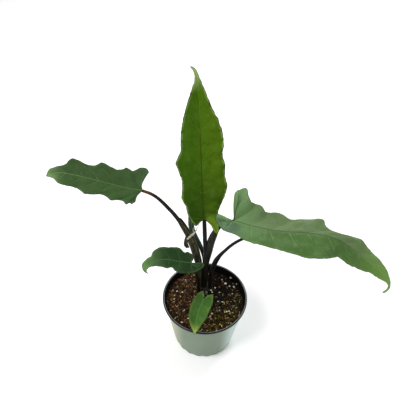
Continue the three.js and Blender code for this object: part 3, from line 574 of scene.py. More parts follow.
def make_piece(name, points, faces, material, corner_maps=None, values=None):
    """A smooth mesh object from points in millimetres, with maps at corners, values at points."""
    mesh = bpy.data.meshes.new(name)
    mesh.from_pydata((np.asarray(points) * MM).tolist(), [], [list(face) for face in faces])
    if mesh.validate():
        raise RuntimeError(f"{name} has faces that Blender had to mend")
    for label, pairs in (corner_maps or {}).items():
        layer = mesh.uv_layers.new(name=label)
        layer.data.foreach_set("uv", np.asarray(pairs, np.float32).ravel())
    for label, numbers in (values or {}).items():
        attribute = mesh.attributes.new(label, "FLOAT", "POINT")
        attribute.data.foreach_set("value", np.asarray(numbers, np.float32))
    mesh.polygons.foreach_set("use_smooth", [True] * len(mesh.polygons))
    mesh.materials.append(material)
    piece = bpy.data.objects.new(name, mesh)
    bpy.context.scene.collection.objects.link(piece)
    check_closed(piece)
    return piece


def check_closed(piece):
    """Raises unless every edge has two faces and the faces point outwards."""
    mesh = piece.data
    uses = np.zeros(len(mesh.edges), int)
    edge_of = np.zeros(len(mesh.loops), int)
    mesh.loops.foreach_get("edge_index", edge_of)
    np.add.at(uses, edge_of, 1)
    if (uses != 2).any():
        raise RuntimeError(f"{piece.name} isn't closed: {int((uses != 2).sum())} edges")
    mesh.calc_loop_triangles()
    corners = np.zeros(len(mesh.loop_triangles) * 3, int)
    mesh.loop_triangles.foreach_get("vertices", corners)
    places = np.zeros(len(mesh.vertices) * 3)
    mesh.vertices.foreach_get("co", places)
    a, b, c = np.moveaxis(places.reshape(-1, 3)[corners.reshape(-1, 3)], 1, 0)
    if np.einsum("ij,ij->i", a, np.cross(b, c)).sum() <= 0:
        raise RuntimeError(f"{piece.name} is inside out")


def place_piece(piece, slot, *nodes):
    """Hands a finished piece to its body and hides the nodes that it stands for. The slot is not
    used.
    """
    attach(piece, BODY)
    if nodes:
        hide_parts(*nodes)
    return piece


def loft_faces(rings, sides):
    """Faces of a closed loft whose points are its rings and then the two end points."""
    faces = []
    for ring in range(rings - 1):
        for k in range(sides):
            after = (k + 1) % sides
            low, high = ring * sides, (ring + 1) * sides
            faces.append((low + k, low + after, high + after, high + k))
    start, end = rings * sides, rings * sides + 1
    for k in range(sides):
        after = (k + 1) % sides
        faces.append((start, after, k))
        faces.append((end, (rings - 1) * sides + k, (rings - 1) * sides + after))
    return faces


def loft(name, rings, material, map_name=None, corners=None):
    """A closed loft of rings of points. Its map is corners(ring, side), the side past the seam."""
    rings = np.asarray(rings, float)
    count, sides = rings.shape[:2]
    points = np.vstack([rings.reshape(-1, 3), rings[0].mean(0), rings[-1].mean(0)])
    faces = loft_faces(count, sides)
    maps = None
    if corners:
        pairs = []
        for face in faces:
            around = [k % sides for k in face if k < count * sides]
            wraps = max(around) - min(around) > sides / 2
            for k in face:
                if k >= count * sides:
                    ring, side = (0, 0) if k == count * sides else (count - 1, 0)
                else:
                    ring, side = divmod(k, sides)
                pairs.append(corners(ring, side + sides if wraps and side < sides / 2 else side))
        maps = {map_name: pairs}
    return make_piece(name, points, faces, material, maps)


# Blades


class Blade:
    """A leaf blade's form: its midrib, and where a flat point lies in space."""

    def __init__(self, spec):
        self.spec = spec
        self.midrib = Curve(spec["midrib"])
        self.face = Curve(spec["face"])
        self.length = self.midrib.length
        self.rib_end = self.length * MIDRIB_END

    def place(self, flat):
        """Flat points' places in space."""
        held = np.clip(flat[:, 0], 0, self.length)
        ahead = self.midrib.heading(held)
        across = unit(np.cross(ahead, self.face.at(held / self.length)))
        up = np.cross(across, ahead)
        lift = flat[:, 2] + self.spec["fold"] * np.abs(flat[:, 1])
        return (self.midrib.along(held) + ahead * (flat[:, 0] - held)[:, None]
                + across * flat[:, 1:2] + up * lift[:, None])


class BladeSide:
    """One side of a blade and its lobe, as rows of points from the ribs out to the edge."""

    def __init__(self, blade, outline, side):
        flip = np.array([1, side, 1.0])
        lobe_tip = outline["margin"][-1]
        self.blade = blade
        self.side = side
        self.margin = Curve(np.array([(blade.length, 0, 0)] + outline["margin"]) * flip)
        self.sinus = Curve(np.array([lobe_tip] + outline["sinus"] + [(0, 0, 0)]) * flip)
        self.costa = Curve(np.array([(0, 0, 0)] + outline["costa"]) * flip)
        self.reach = blade.rib_end + self.costa.length
        self.veins = blade.spec["veins"]

    def rib_points(self, share):
        """Points on the midrib from its end, and then on the lobe's rib."""
        behind = share * self.reach
        on_midrib = np.c_[self.blade.rib_end - behind, 0 * behind, 0 * behind]
        on_costa = self.costa.along(np.maximum(behind - self.blade.rib_end, 0))
        return np.where((behind <= self.blade.rib_end)[:, None], on_midrib, on_costa)

    def edge_points(self, share):
        """Points on the margin, which run ahead of the ribs because veins slant to the tip."""
        slanted = 1 + VEIN_SLANT
        root = np.sqrt(slanted**2 - 4 * VEIN_SLANT * np.clip(share, 0, 1))
        reached = np.minimum((slanted - root) / (2 * VEIN_SLANT), 1)
        return self.margin.along(reached * self.margin.length)

    def rows(self):
        """Distances along the ribs from the tip: on the midrib, and then on the lobe's rib."""
        tip = np.linspace(0, 1, TIP_ROWS)[:-1] ** TIP_CROWDING
        rest = [k + step for k in range(1, self.veins) for step in VEIN_STEPS]
        midrib = (np.r_[tip, rest, self.veins] / self.veins) ** (1 / VEIN_CROWDING)
        lobe = [k + step for k in range(LOBE_VEINS) for step in VEIN_STEPS][1:] + [LOBE_VEINS]
        beyond = np.array(lobe) * self.costa.length / LOBE_VEINS
        return self.blade.rib_end * midrib, self.blade.rib_end + beyond

    def phase(self, behind):
        """How many veins lie between the tip and these distances along the ribs."""
        on_midrib = np.clip(behind / self.blade.rib_end, 0, 1) ** VEIN_CROWDING
        in_lobe = np.maximum(behind - self.blade.rib_end, 0) / self.costa.length
        return self.veins * on_midrib + LOBE_VEINS * in_lobe

    def unevenness(self, flat, across, outward, width):
        """Small moves of the flat points: a nibbled edge, always inwards, and a rippled sheet."""
        cells = flat.reshape(-1, 3)
        fine = [noise.noise(Vector((x / 4, y / 4, 3))) for x, y, _ in cells]
        broad = [noise.noise(Vector((x / 13, y / 13, 8))) for x, y, _ in cells]
        fine, broad = (np.array(v).reshape(across.shape) for v in (fine, broad))
        wide = smoothstep(1, 9, width)[:, None]
        inward = (fine - 0.45) * EDGE_NIBBLE * across**5 * wide
        moved = unit(outward)[:, None] * inward[..., None]
        moved[..., 2] += broad * RIPPLE * smoothstep(1, 12, np.abs(flat[..., 1]))
        return moved

    def grid(self):
        """Flat points, and each point's vein phase, share across and distances to veins and rib."""
        on_midrib, in_lobe = self.rows()
        behind = np.r_[on_midrib, in_lobe]
        back = np.r_[in_lobe[-2::-1], self.blade.rib_end]
        along, outer = behind / self.reach, len(behind)
        costa = back - self.blade.rib_end
        sinus = (1 - costa / self.costa.length) * self.sinus.length
        ribs = np.vstack([self.rib_points(along), self.costa.along(costa)])
        edges = np.vstack([self.edge_points(along), self.sinus.along(sinus)])
        width = np.maximum(np.linalg.norm(edges - ribs, axis=1), 1e-3)
        near = np.minimum(np.outer(1 / width, RIB_STEPS), 0.05 * np.arange(len(RIB_STEPS)))
        evenly = np.sort(np.r_[np.linspace(0, 1, ACROSS_STEPS + 1)[1:], EDGE_STEP])
        across = np.hstack([near, near[:, -1:] + (1 - near[:, -1:]) * evenly])
        own = along[:, None] - 4 * VEIN_ARCH * (along * (1 - along))[:, None] * across[:outer] ** 2
        flat = np.empty(across.shape + (3,))
        rib = self.rib_points(own.ravel()).reshape(own.shape + (3,))
        edge = self.edge_points(own.ravel()).reshape(own.shape + (3,))
        share = across[:outer, :, None]
        flat[:outer] = rib + (edge - rib) * share
        flat[:outer, :, 2] = rib[..., 2] + (edge - rib)[..., 2] * across[:outer] ** LIFT_POWER
        share = across[outer:, :, None]
        flat[outer:] = ribs[outer:, None] + (edges - ribs)[outer:, None] * share
        lifts = (edges - ribs)[outer:, None, 2] * across[outer:] ** LIFT_POWER
        flat[outer:, :, 2] = ribs[outer:, None, 2] + lifts
        flat += self.unevenness(flat, across, edges - ribs, width)
        phase = np.r_[self.phase(behind), 2 * (self.veins + LOBE_VEINS) - self.phase(back)]
        spacing = np.full(len(phase), self.costa.length / LOBE_VEINS)
        spacing[: len(on_midrib)] = self.blade.rib_end / self.veins
        vein = np.abs((phase + 0.5) % 1 - 0.5) * spacing
        return {
            "flat": flat,
            "phase": np.repeat(phase[:, None], across.shape[1], 1),
            "share": across,
            "vein": np.repeat(vein[:, None], across.shape[1], 1),
            "bulge": np.repeat(np.sin(np.pi * phase)[:, None] ** 2, across.shape[1], 1),
            "rib": across * width[:, None],
            "edge": (1 - across) * width[:, None],
            "width": np.repeat(width[:, None], across.shape[1], 1),
        }


def joined_sides(blade):
    """Both sides of a blade as one sheet: merged flat points, faces, and numbers at both."""
    labels = ("phase", "share", "vein", "bulge", "rib", "edge", "width")
    flats, quads, numbers = [], [], []
    start = 0
    for side, key in ((1, "right"), (-1, "left")):
        grid = BladeSide(blade, blade.spec[key], side).grid()
        rows, columns = grid["share"].shape
        index = start + np.arange(rows * columns).reshape(rows, columns)
        quad = np.stack([index[:-1, :-1], index[1:, :-1], index[1:, 1:], index[:-1, 1:]], -1)
        quad = quad.reshape(-1, 4)
        quads.append(quad if side > 0 else quad[:, ::-1])
        flats.append(grid["flat"].reshape(-1, 3))
        numbers.append(np.stack([grid[label].ravel() for label in labels], -1))
        start += rows * columns
    flats, quads, numbers = np.vstack(flats), np.vstack(quads), np.vstack(numbers)
    rounded = np.round(flats, 3)
    _, firsts, merged = np.unique(rounded, axis=0, return_index=True, return_inverse=True)
    merged = merged.ravel()
    faces, corners = [], []
    for quad in quads:
        face, corner = [], []
        for k in quad:
            if merged[k] not in face:
                face.append(int(merged[k]))
                corner.append(k)
        if len(face) > 2:
            faces.append(face)
            corners.append(corner)
    return flats[firsts], numbers[firsts], faces, [numbers[c][:, :2] for c in corners]


def sheet_normals(points, faces):
    """Unit normals at a sheet's points."""
    normals = np.zeros_like(points)
    for face in faces:
        a, b, c = points[face[0]], points[face[1]], points[face[-1]]
        normals[face] += np.cross(b - a, c - a)
    return unit(normals)


def blade_mesh(name, spec, sizes, material):
    """A blade with quilted halves, sunk veins above, raised ones and a keel below, a thin edge."""
    blade = Blade(spec)
    flats, numbers, faces, corners = joined_sides(blade)
    phase, share, vein, bulge, rib, edge, width = numbers.T
    points = blade.place(flats)
    normals = sheet_normals(points, faces)
    half = sizes.blade_thickness / MM / 2
    half = half * (EDGE_THINNING + (1 - EDGE_THINNING) * smoothstep(0, EDGE_BEVEL, edge))
    away = smoothstep(0.3, 2.5, rib) * smoothstep(0, 14, width)
    chance = 1 + 0.6 * np.sin(2.4 * np.floor(phase) + 1.1 * np.sign(flats[:, 1]))
    quilt = sizes.quilting / MM * bulge * chance * away * (1 - share**3) * np.sqrt(share)
    vein_line = bell(vein, VEIN_HALF_WIDTH) * away * (1 - share**2)
    forward = np.clip(flats[:, 0] / blade.length, 0, 1)
    in_lobe = np.clip(np.abs(flats[:, 1]) / 20, 0, 1) * (flats[:, 0] < 2)
    strength = np.clip(1 - forward - in_lobe, 0.12, 1)
    keel = sizes.keel_depth / MM * strength * bell(rib, KEEL_HALF_WIDTH)
    groove = GROOVE_DEPTH * strength * bell(rib, GROOVE_HALF_WIDTH)
    sunk = sizes.vein_depth / MM
    above = half + quilt - groove - sunk * vein_line
    below = -half + quilt - keel - RAISED_VEIN * sunk * vein_line
    above = np.maximum(above, below + THINNEST)
    count = len(points)
    solid = np.vstack([points + normals * above[:, None], points + normals * below[:, None]])
    edges = {}
    all_faces, pairs = [], []
    for face, pair in zip(faces, corners):
        all_faces.append(face)
        pairs.extend(pair)
        for k, start in enumerate(face):
            stop = face[(k + 1) % len(face)]
            if (stop, start) in edges:
                del edges[(stop, start)]
            else:
                edges[(start, stop)] = (pair[k], pair[(k + 1) % len(face)])
    for face, pair in zip(faces, corners):
        all_faces.append([k + count for k in face[::-1]])
        pairs.extend(pair[::-1])
    for (start, stop), (first, second) in edges.items():
        all_faces.append([stop, start, start + count, stop + count])
        pairs.extend([second, first, first, second])
    values = {
        "upper": np.r_[np.ones(count), np.zeros(count)],
        "rib": np.r_[rib, rib],
        "edge": np.r_[edge, edge],
        "vein": np.r_[vein, vein],
        "forward": np.tile(flats[:, 0] / blade.length, 2),
        "out": np.tile(flats[:, 1], 2),
    }
    return make_piece(name, solid, all_faces, material, {"veins": pairs}, values)


# Stalks


def stalk_mesh(name, spec, material):
    """A stalk as a fine loft, with its sheath's overlapping edge and shoulder where it has them."""
    knots = np.array(spec["knots"], float)
    path, sizes = Curve(knots[:, :3]), Curve(np.c_[knots[:, 3:], 0 * knots[:, 0]])
    count = int(path.length / STALK_STEP)
    seam = spec.get("seam", {"at": 0, "depth": 0, "end": 1})
    shoulder = spec.get("shoulder", {"height": 1000, "out": 0})
    angles = 2 * np.pi * np.arange(STALK_SIDES) / STALK_SIDES
    rings, steps = [], np.linspace(0, 1, count)
    for share in steps:
        centre = path.at(share)[0]
        width, depth, _ = sizes.at(share)[0]
        ahead = unit(path.at(share + 0.004)[0] - path.at(share - 0.004)[0])
        if share < 0.02:
            ahead = np.array([0.0, 0, 1])
        side = unit(np.cross(ahead, FRONT))
        front = np.cross(side, ahead)
        sheath = seam["depth"] * (1 - smoothstep(seam["end"] - 0.12, seam["end"], share))
        past = (angles + math.radians(seam["at"]) + np.pi) % (2 * np.pi) - np.pi
        raised = np.where(past > 0, np.exp(-past / 0.5), 0) * 0.35
        sunk = np.where(past <= 0, np.exp(past / 0.35), 0)
        ribs = 0.012 * np.cos(17 * angles + 6 * share) * (1 - 0.5 * share)
        reach = 1 + sheath * (raised - sunk) + ribs
        below = shoulder["height"] - centre[2]
        mouth = smoothstep(SHEATH_MOUTH, 3, below) * smoothstep(-0.8, 0.8, below)
        right = width + shoulder["out"] * mouth
        across = np.where(np.cos(angles) > 0, right, width)
        rings.append(centre + side * (np.cos(angles) * across * reach)[:, None]
                     - front * (np.sin(angles) * depth * reach)[:, None])
    rings = np.array(rings)
    if knots[0, 2] > SOIL_LEVEL:
        rings = np.concatenate([rings[:1] - [0, 0, STALK_SINK], rings])
    offset = math.radians(seam["at"]) / (2 * np.pi)

    def skin(ring, side):
        return ((side / STALK_SIDES + offset) % 2, ring * STALK_STEP / 10)

    return loft(name, rings, material, "skin", skin)


# Finishes


class Field:
    """A socket in a finish, with arithmetic that adds its Math nodes."""

    def __init__(self, finish, socket):
        self.finish = finish
        self.socket = socket

    def _math(self, operation, *values):
        return self.finish.node("ShaderNodeMath", {"operation": operation}, *values)

    def __add__(self, other):
        return self._math("ADD", self, other)

    __radd__ = __add__

    def __sub__(self, other):
        return self._math("SUBTRACT", self, other)

    def __rsub__(self, other):
        return self._math("SUBTRACT", other, self)

    def __mul__(self, other):
        return self._math("MULTIPLY", self, other)

    __rmul__ = __mul__

    def over(self, low, high):
        """0 where this is below low and 1 above high, and smooth between them."""
        return self.finish.node(
            "ShaderNodeMapRange", {"interpolation_type": "SMOOTHSTEP"}, self, low, high)

    def under(self, low, high):
        """1 where this is below low and 0 above high."""
        return 1 - self.over(low, high)


class Finish:
    """A procedural material on one Principled shader."""

    def __init__(self, name, shine):
        self.material = bpy.data.materials.new(name)
        self.material.use_nodes = True
        self.tree = self.material.node_tree
        self.shader = self.tree.nodes["Principled BSDF"]
        self.shader.inputs["Specular IOR Level"].default_value = shine

    def node(self, kind, settings, *values, output=0, **named):
        """Adds a node, sets its settings, fills its sockets and returns one of its outputs."""
        node = self.tree.nodes.new(kind)
        for label, value in settings.items():
            setattr(node, label, value)
        for key, value in [*enumerate(values), *named.items()]:
            self._fill(node.inputs[key], value)
        return Field(self, node.outputs[output])

    def _fill(self, socket, value):
        if isinstance(value, Field):
            self.tree.links.new(value.socket, socket)
        elif socket.type == "RGBA":
            socket.default_value = (*value, 1)
        else:
            socket.default_value = value

    def value(self, name):
        """A number that the mesh holds at its points."""
        return self.node("ShaderNodeAttribute", {"attribute_name": name}, output="Fac")

    def corner_map(self, name):
        """The two numbers of a map at the mesh's corners."""
        vector = self.node("ShaderNodeUVMap", {"uv_map": name})
        return [self.node("ShaderNodeSeparateXYZ", {}, vector, output=k) for k in range(2)]

    def place(self):
        """The point in the plant's own frame, in metres."""
        return self.node("ShaderNodeTexCoord", {}, output="Object")

    def axes(self, vector):
        """A vector's three numbers."""
        return [self.node("ShaderNodeSeparateXYZ", {}, vector, output=k) for k in range(3)]

    def noise(self, vector, scale, detail=3.0, roughness=0.5):
        """Cloudy numbers round 0.5, with this many clouds to the metre."""
        return self.node("ShaderNodeTexNoise", {}, Vector=vector, Scale=scale, Detail=detail,
                         Roughness=roughness)

    def cells(self, vector, scale):
        """The distance to the walls of a net of cells."""
        return self.node("ShaderNodeTexVoronoi", {"feature": "DISTANCE_TO_EDGE"}, Vector=vector,
                         Scale=scale)

    def stretched(self, vector, x, y, z):
        """A vector with its axes stretched."""
        return self.node("ShaderNodeMapping", {}, Vector=vector, Scale=(x, y, z))

    def blend(self, factor, first, second, how="MIX"):
        """The first colour, turning to the second with the factor."""
        node = self.tree.nodes.new("ShaderNodeMix")
        node.data_type = "RGBA"
        node.blend_type = how
        for socket, value in zip([node.inputs[k] for k in (0, 6, 7)], (factor, first, second)):
            self._fill(socket, value)
        return Field(self, node.outputs[2])

    def bump(self, height, distance, strength=1.0):
        """A normal that follows a height, whose full step is this distance in metres."""
        return self.node("ShaderNodeBump", {}, Height=height, Distance=distance, Strength=strength)

    def finish(self, colour=None, roughness=None, normal=None):
        """Links what changes over the surface and returns the material."""
        for label, field in (("Base Color", colour), ("Roughness", roughness), ("Normal", normal)):
            if field is not None:
                self._fill(self.shader.inputs[label], field)
        return self.material


def leaf_finish(name, look, tint):
    """A blade's skin: ribs and side veins, a fine net, mottling, a purplish underside, and painted
    light and shade on its halves and at its foot.
    """
    colours = {k: linear(v) for k, v in look.items() if isinstance(v, str)}
    skin = Finish(name, look["shine"])
    place = skin.place()
    upper, rib, edge = skin.value("upper"), skin.value("rib"), skin.value("edge")
    vein, forward, out = skin.value("vein"), skin.value("forward"), skin.value("out")
    share = skin.corner_map("veins")[1]
    clouds = skin.noise(place, 34.0, 3.0)
    blotches = skin.noise(place, 120.0, 3.0, 0.6)
    speckle = skin.noise(place, 480.0, 3.0, 0.6)
    net = skin.cells(place, 560.0)
    # Painted light: the two halves' colours differ partly by how the light falls on them, and on
    # the right leaf's far half by a painted grey sheen.
    halves = (out + (clouds - 0.5) * 8.0).over(-look["halves"], look["halves"])
    colour = skin.blend(halves, colours["left"], colours["right"])
    # Painted shade at the foot by the petiole, and on the right leaf a painted lighter foot where
    # its back lobe faces the light.
    painted_foot_shading = forward.under(-0.05, look["base_to"]) * clouds.over(0.2, 0.5)
    colour = skin.blend(painted_foot_shading * 0.8, colour, colours["base"])
    right_lobe = forward.under(0.0, 0.07) * out.over(0.0, 5.0)
    colour = skin.blend(right_lobe * 0.85, colour, colours["lobe"])
    tip = (forward + (clouds - 0.5) * 0.15).over(look["tip_from"], 1.0)
    colour = skin.blend(tip * 0.85, colour, colours["tip"])
    colour = skin.blend(blotches.over(0.5, 0.72) * 0.05, colour, colours["tip"])
    colour = skin.blend(blotches.under(0.3, 0.46) * 0.3, colour, colours["base"])
    wavering = vein + (blotches - 0.5) * 0.7
    side_veins = wavering.under(0.1, 0.6) * share.under(0.3, 0.97) * rib.over(0.3, 1.5)
    side_veins = side_veins * clouds.over(0.25, 0.6)
    colour = skin.blend(side_veins * look["veining"], colour, colours["vein"])
    midrib = rib.under(0.3, 0.9) * forward.under(0.5, 0.85)
    colour = skin.blend(midrib * 0.85, colour, colours["rib"])
    far_rib = rib.under(0.2, 0.8) * forward.over(0.55, 0.75)
    colour = skin.blend(far_rib * 0.4, colour, colours["vein"])
    fringe = edge.over(0.4, 1.0) * edge.under(1.4, 3.4) * blotches.over(0.36, 0.52)
    colour = skin.blend(fringe * look["fringe"], colour, colours["tip"])
    colour = skin.blend(edge.under(0.4, 1.25) * 0.85, colour, colours["border"])
    colour = skin.blend(net.under(0.0, 0.05) * 0.12, colour, colours["vein"])
    colour = skin.blend(speckle.over(0.5, 0.8) * 0.25, colour, colours["base"])
    beneath = skin.blend(blotches.over(0.35, 0.65) * 0.45, colours["under"], colours["left"])
    beneath = skin.blend(side_veins * 0.6, beneath, linear("3d2229"))
    beneath = skin.blend(rib.under(0.5, 1.8) * 0.85, beneath, linear("2a171b"))
    beneath = skin.blend(net.under(0.0, 0.06) * 0.25, beneath, linear("3d2229"))
    colour = skin.blend(upper.over(0.4, 0.6), beneath, colour)
    colour = skin.blend(1.0, colour, tint, "MULTIPLY")
    roughness = look["gloss"] + (speckle - 0.5) * 0.2 + (blotches - 0.5) * 0.25 + (1 - upper) * 0.1
    height = net.over(0.0, 0.12) * 0.5 + speckle * 0.35 + blotches - side_veins * 0.4
    return skin.finish(colour, roughness, skin.bump(height, 0.0006, 0.7))


def stalk_finish(name, look, tint):
    """A stalk's skin: long streaks, mottling and the dry pale edge of its sheath."""
    colours = {k: linear(v) for k, v in look.items() if isinstance(v, str)}
    skin = Finish(name, look["shine"])
    place = skin.place()
    height = skin.axes(place)[2]
    around, _ = skin.corner_map("skin")
    streaks = skin.noise(skin.stretched(place, 900.0, 900.0, 60.0), 1.0, 3.0, 0.6)
    blotches = skin.noise(skin.stretched(place, 260.0, 260.0, 70.0), 1.0, 3.0, 0.55)
    colour = skin.blend(blotches.over(0.42, 0.62) * 0.75, colours["skin"], colours["mottle"])
    colour = skin.blend(streaks.over(0.5, 0.72) * 0.35, colour, colours["mottle"])
    if "upper_skin" in look:
        bare = height.over((look["upper_from"] - 4) * MM, (look["upper_from"] + 4) * MM)
        colour = skin.blend(bare, colour, colours["upper_skin"])
        top = height.over((look["top_from"] - 3) * MM, (look["top_from"] + 2) * MM)
        colour = skin.blend(top * 0.8, colour, colours["top_skin"])
    if "lower_skin" in look:
        low = height.under((look["lower_to"] - 14) * MM, (look["lower_to"] + 10) * MM)
        colour = skin.blend(low, colour, colours["lower_skin"])
    if colours["edge"] != colours["skin"]:
        turn = skin.node("ShaderNodeMath", {"operation": "FRACT"}, around)
        rim = turn.over(0.982, 0.992) * streaks.over(0.35, 0.55)
        colour = skin.blend(rim * 0.7, colour, colours["edge"])
    colour = skin.blend(1.0, colour, tint, "MULTIPLY")
    roughness = look["gloss"] + (blotches - 0.5) * 0.25
    return skin.finish(colour, roughness, skin.bump(streaks + blotches * 0.5, 0.00025, 0.5))


def dry_finish():
    """Dry papery sheath: pale, streaked and rough."""
    skin = Finish("dry_sheath_paper", shine=0.3)
    place = skin.place()
    streaks = skin.noise(skin.stretched(place, 700.0, 300.0, 500.0), 1.0, 4.0, 0.6)
    colour = skin.blend(streaks.over(0.35, 0.65), linear("8f8c78"), linear("b9b5a2"))
    colour = skin.blend(skin.noise(place, 900.0).over(0.58, 0.7) * 0.6, colour, linear("5c5443"))
    return skin.finish(colour, 0.75 + streaks * 0.2, skin.bump(streaks, 0.0004, 0.7))


def crown_finish():
    """The stem base: dark, fibrous, with brown scars."""
    skin = Finish("crown_fibre", shine=0.35)
    place = skin.place()
    fibres = skin.noise(skin.stretched(place, 900.0, 900.0, 90.0), 1.0, 4.0, 0.65)
    colour = skin.blend(fibres.over(0.4, 0.7), linear("161410"), linear("3a2f20"))
    return skin.finish(colour, 0.6 + fibres * 0.25, skin.bump(fibres, 0.0006, 0.8))


def soil_finish(name, colours, patch_scale=90.0, gap_shade_depth=0.85, damp_and_shade_depth=0.75):
    """Earthy grains in three colours, with painted shade in the gaps between crumbs, darkest by the
    crown where the soil is damp and painted shade stands for the leaves' shadow, and greened by
    moss.
    """
    dark, middle, light = colours
    skin = Finish(name, shine=0.1)
    place = skin.place()
    x, y = skin.axes(place)[:2]
    patches = skin.noise(place, patch_scale, 3.0, 0.6)
    specks = skin.noise(place, 1100.0, 2.0, 0.6)
    colour = skin.blend(patches.over(0.42, 0.6), dark, middle)
    colour = skin.blend(specks.over(0.52, 0.7) * 0.85, colour, light)
    # Painted shade: dark patches stand for the shade in the gaps between crumbs.
    painted_gap_shade = skin.noise(place, 190.0, 2.0, 0.6).under(0.4, 0.56)
    colour = skin.blend(painted_gap_shade * gap_shade_depth, colour, linear("060403"))
    wander = (skin.noise(place, 45.0) - 0.5) * 0.04
    # Darker towards the back right by the crown: partly damp soil, partly painted shade for the
    # shadow of the leaves above.
    damp_and_painted_shade = (x + wander).over(-18 * MM, 2 * MM) * (y + wander).over(-26 * MM, -6 * MM)
    colour = skin.blend(damp_and_painted_shade * damp_and_shade_depth, colour, linear("070504"))
    mossy = (x - y * 0.7 + wander).over(22 * MM, 42 * MM) * (1 - damp_and_painted_shade)
    colour = skin.blend(mossy, colour, MOSS_TINT, "MULTIPLY")
    return skin.finish(colour, 0.9 - specks * 0.15, skin.bump(specks, 0.0006, 0.8))


def pot_finish(colours):
    """The pot: matt grey-green plastic outside, black on the lip and inside, with painted
    reflections paler on its left and right sides and a painted highlight ring on the lip.
    """
    plastic = Finish("pot_plastic", shine=0.22)
    place = plastic.place()
    x, y, z = plastic.axes(place)
    radius = plastic.node("ShaderNodeVectorMath", {"operation": "LENGTH"},
                          plastic.node("ShaderNodeCombineXYZ", {}, x, y, 0.0), output="Value")
    slope = (THROAT_RADIUS + POT_WALL - POT_BASE_RADIUS) / WALL_TOP
    outside = radius - z * slope - (POT_BASE_RADIUS - FINE_WALL / 2) * MM
    inner = outside.under(-0.15 * MM, 0.15 * MM) * z.over(11 * MM, 12 * MM)
    lip = z.over((WALL_TOP - 0.6) * MM, (WALL_TOP - 0.1) * MM)
    black = plastic.node("ShaderNodeMath", {"operation": "MAXIMUM"}, inner, lip)
    grain = plastic.noise(place, 900.0, 2.0, 0.6)
    clouds = plastic.noise(plastic.stretched(place, 30.0, 30.0, 12.0), 1.0, 3.0)
    wall = plastic.blend(clouds.over(0.4, 0.65) * 0.35, tuple(colours.pot_wall), linear("63735f"))
    dust = plastic.noise(place, 260.0, 4.0, 0.65).over(0.5, 0.75)
    blacks = plastic.blend(dust * 0.12, tuple(colours.pot_black), linear("3a3733"))
    # Painted reflection: the wall is painted paler towards its left and right sides, warm on the
    # left and cool on the right.
    wall = plastic.blend(x.under(-48 * MM, -26 * MM) * 0.7, wall, linear("b2b592"))
    wall = plastic.blend(x.over(22 * MM, 44 * MM) * 0.9, wall, linear("b9d0ca"))
    # Painted highlight: a thin pale ring on the lip's top, broken by the clouds, stands for the
    # light that the lip reflects.
    painted_lip_highlight = radius.over(57.6 * MM, 58.0 * MM) * radius.under(58.4 * MM, 58.9 * MM)
    painted_lip_highlight = painted_lip_highlight * z.over(93.2 * MM, 93.6 * MM) * clouds.over(0.3, 0.55)
    blacks = plastic.blend(painted_lip_highlight * 0.5, blacks, linear("8b9196"))
    colour = plastic.blend(black, wall, blacks)
    roughness = 0.4 + grain * 0.12 - lip * 0.14 + dust * 0.1
    return plastic.finish(colour, roughness, plastic.bump(grain, 0.0001, 0.35))


# Pot and soil


def wall_radius(height):
    """The outside of the pot's wall at a height."""
    return POT_BASE_RADIUS + (THROAT_RADIUS + POT_WALL - POT_BASE_RADIUS) * height / WALL_TOP


def arc(centre, radius, start, stop, steps):
    """Points of a round corner in a profile."""
    turns = np.radians(np.linspace(start, stop, steps))
    return [(centre[0] + radius * math.cos(t), centre[1] + radius * math.sin(t)) for t in turns]


def pot_profile():
    """The pot's section from the middle of its underside round the wall and back to its floor."""
    outer, top, bend = POT_RIM_RADIUS, POT_HEIGHT, LIP_ROUND
    inner_foot = POT_BASE_RADIUS - POT_WALL
    base = [(0, 0), (DRAIN_CIRCLE - 10, 0), (DRAIN_CIRCLE + 8, 0)]
    outside = base + [(POT_BASE_RADIUS - 1.2, 0)]
    outside += arc((POT_BASE_RADIUS - 1.2, FOOT_ROUND), FOOT_ROUND, -70, 0, 4)
    heights = (3, 4.5, 6, 8, 10, 13, 20, 30, 42, 55, 68, 78, 85, 89.5)
    outside += [(wall_radius(z), z) for z in heights]
    outside += arc((wall_radius(WALL_TOP) + 0.8, WALL_TOP - 0.8), 0.8, 180, 90, 3)
    outside += arc((outer - bend, WALL_TOP + bend), bend, -80, 0, 4)
    outside += arc((outer - bend, top - bend), bend, 0, 90, 5)
    throat = wall_radius(top) - FINE_WALL
    outside += arc((throat + bend, top - bend), bend, 90, 180, 5)
    inside = [(wall_radius(z) - FINE_WALL, z) for z in (90, 82, 68, 52, 36, 20, 10)]
    inside += arc((inner_foot - 1.2, POT_WALL + 1.2), 1.2, 0, -90, 4)
    return outside + inside + [(radius, POT_WALL) for radius, _ in base[::-1]]


def pot_mesh(material):
    """The turned pot with its scalloped foot, before its drain holes."""
    profile = pot_profile()
    turns = 2 * np.pi * np.arange(POT_SIDES) / POT_SIDES
    rings = []
    for radius, z in profile[1:-1]:
        low = 1 - float(smoothstep(1.5, FOOT_SCALLOP_HEIGHT, z))
        edge = float(smoothstep(DRAIN_CIRCLE + DRAIN_RADIUS + 1, POT_BASE_RADIUS - 3, radius))
        scallop = FOOT_SCALLOP_DEPTH * low * edge * (0.5 + 0.5 * np.cos(FOOT_SCALLOPS * turns))
        reach = radius - scallop
        rings.append(np.c_[reach * np.cos(turns), reach * np.sin(turns), np.full(POT_SIDES, z)])
    points = np.vstack(rings + [[(0, 0, profile[0][1])], [(0, 0, profile[-1][1])]])
    return make_piece("nursery_pot", points, loft_faces(len(rings), POT_SIDES), material)


def soil_height(x, y):
    """The soil's top: low lumps that die out at the wall, with crumbly relief on them."""
    lumps = math.sin(x / 7 + 1) * math.cos(y / 9) + 0.6 * math.sin((x + y) / 4.3 + 2)
    edge = math.hypot(x, y) / POT_RIM_RADIUS
    crumbs = noise.fractal(Vector((x, y, 3)) / 4.2, 0.7, 2.1, 4)
    return (SOIL_LEVEL + SOIL_RELIEF * lumps * (1 - edge**4) - 2 * edge**6
            + CRUMB_RELIEF * crumbs * (1 - edge**12))


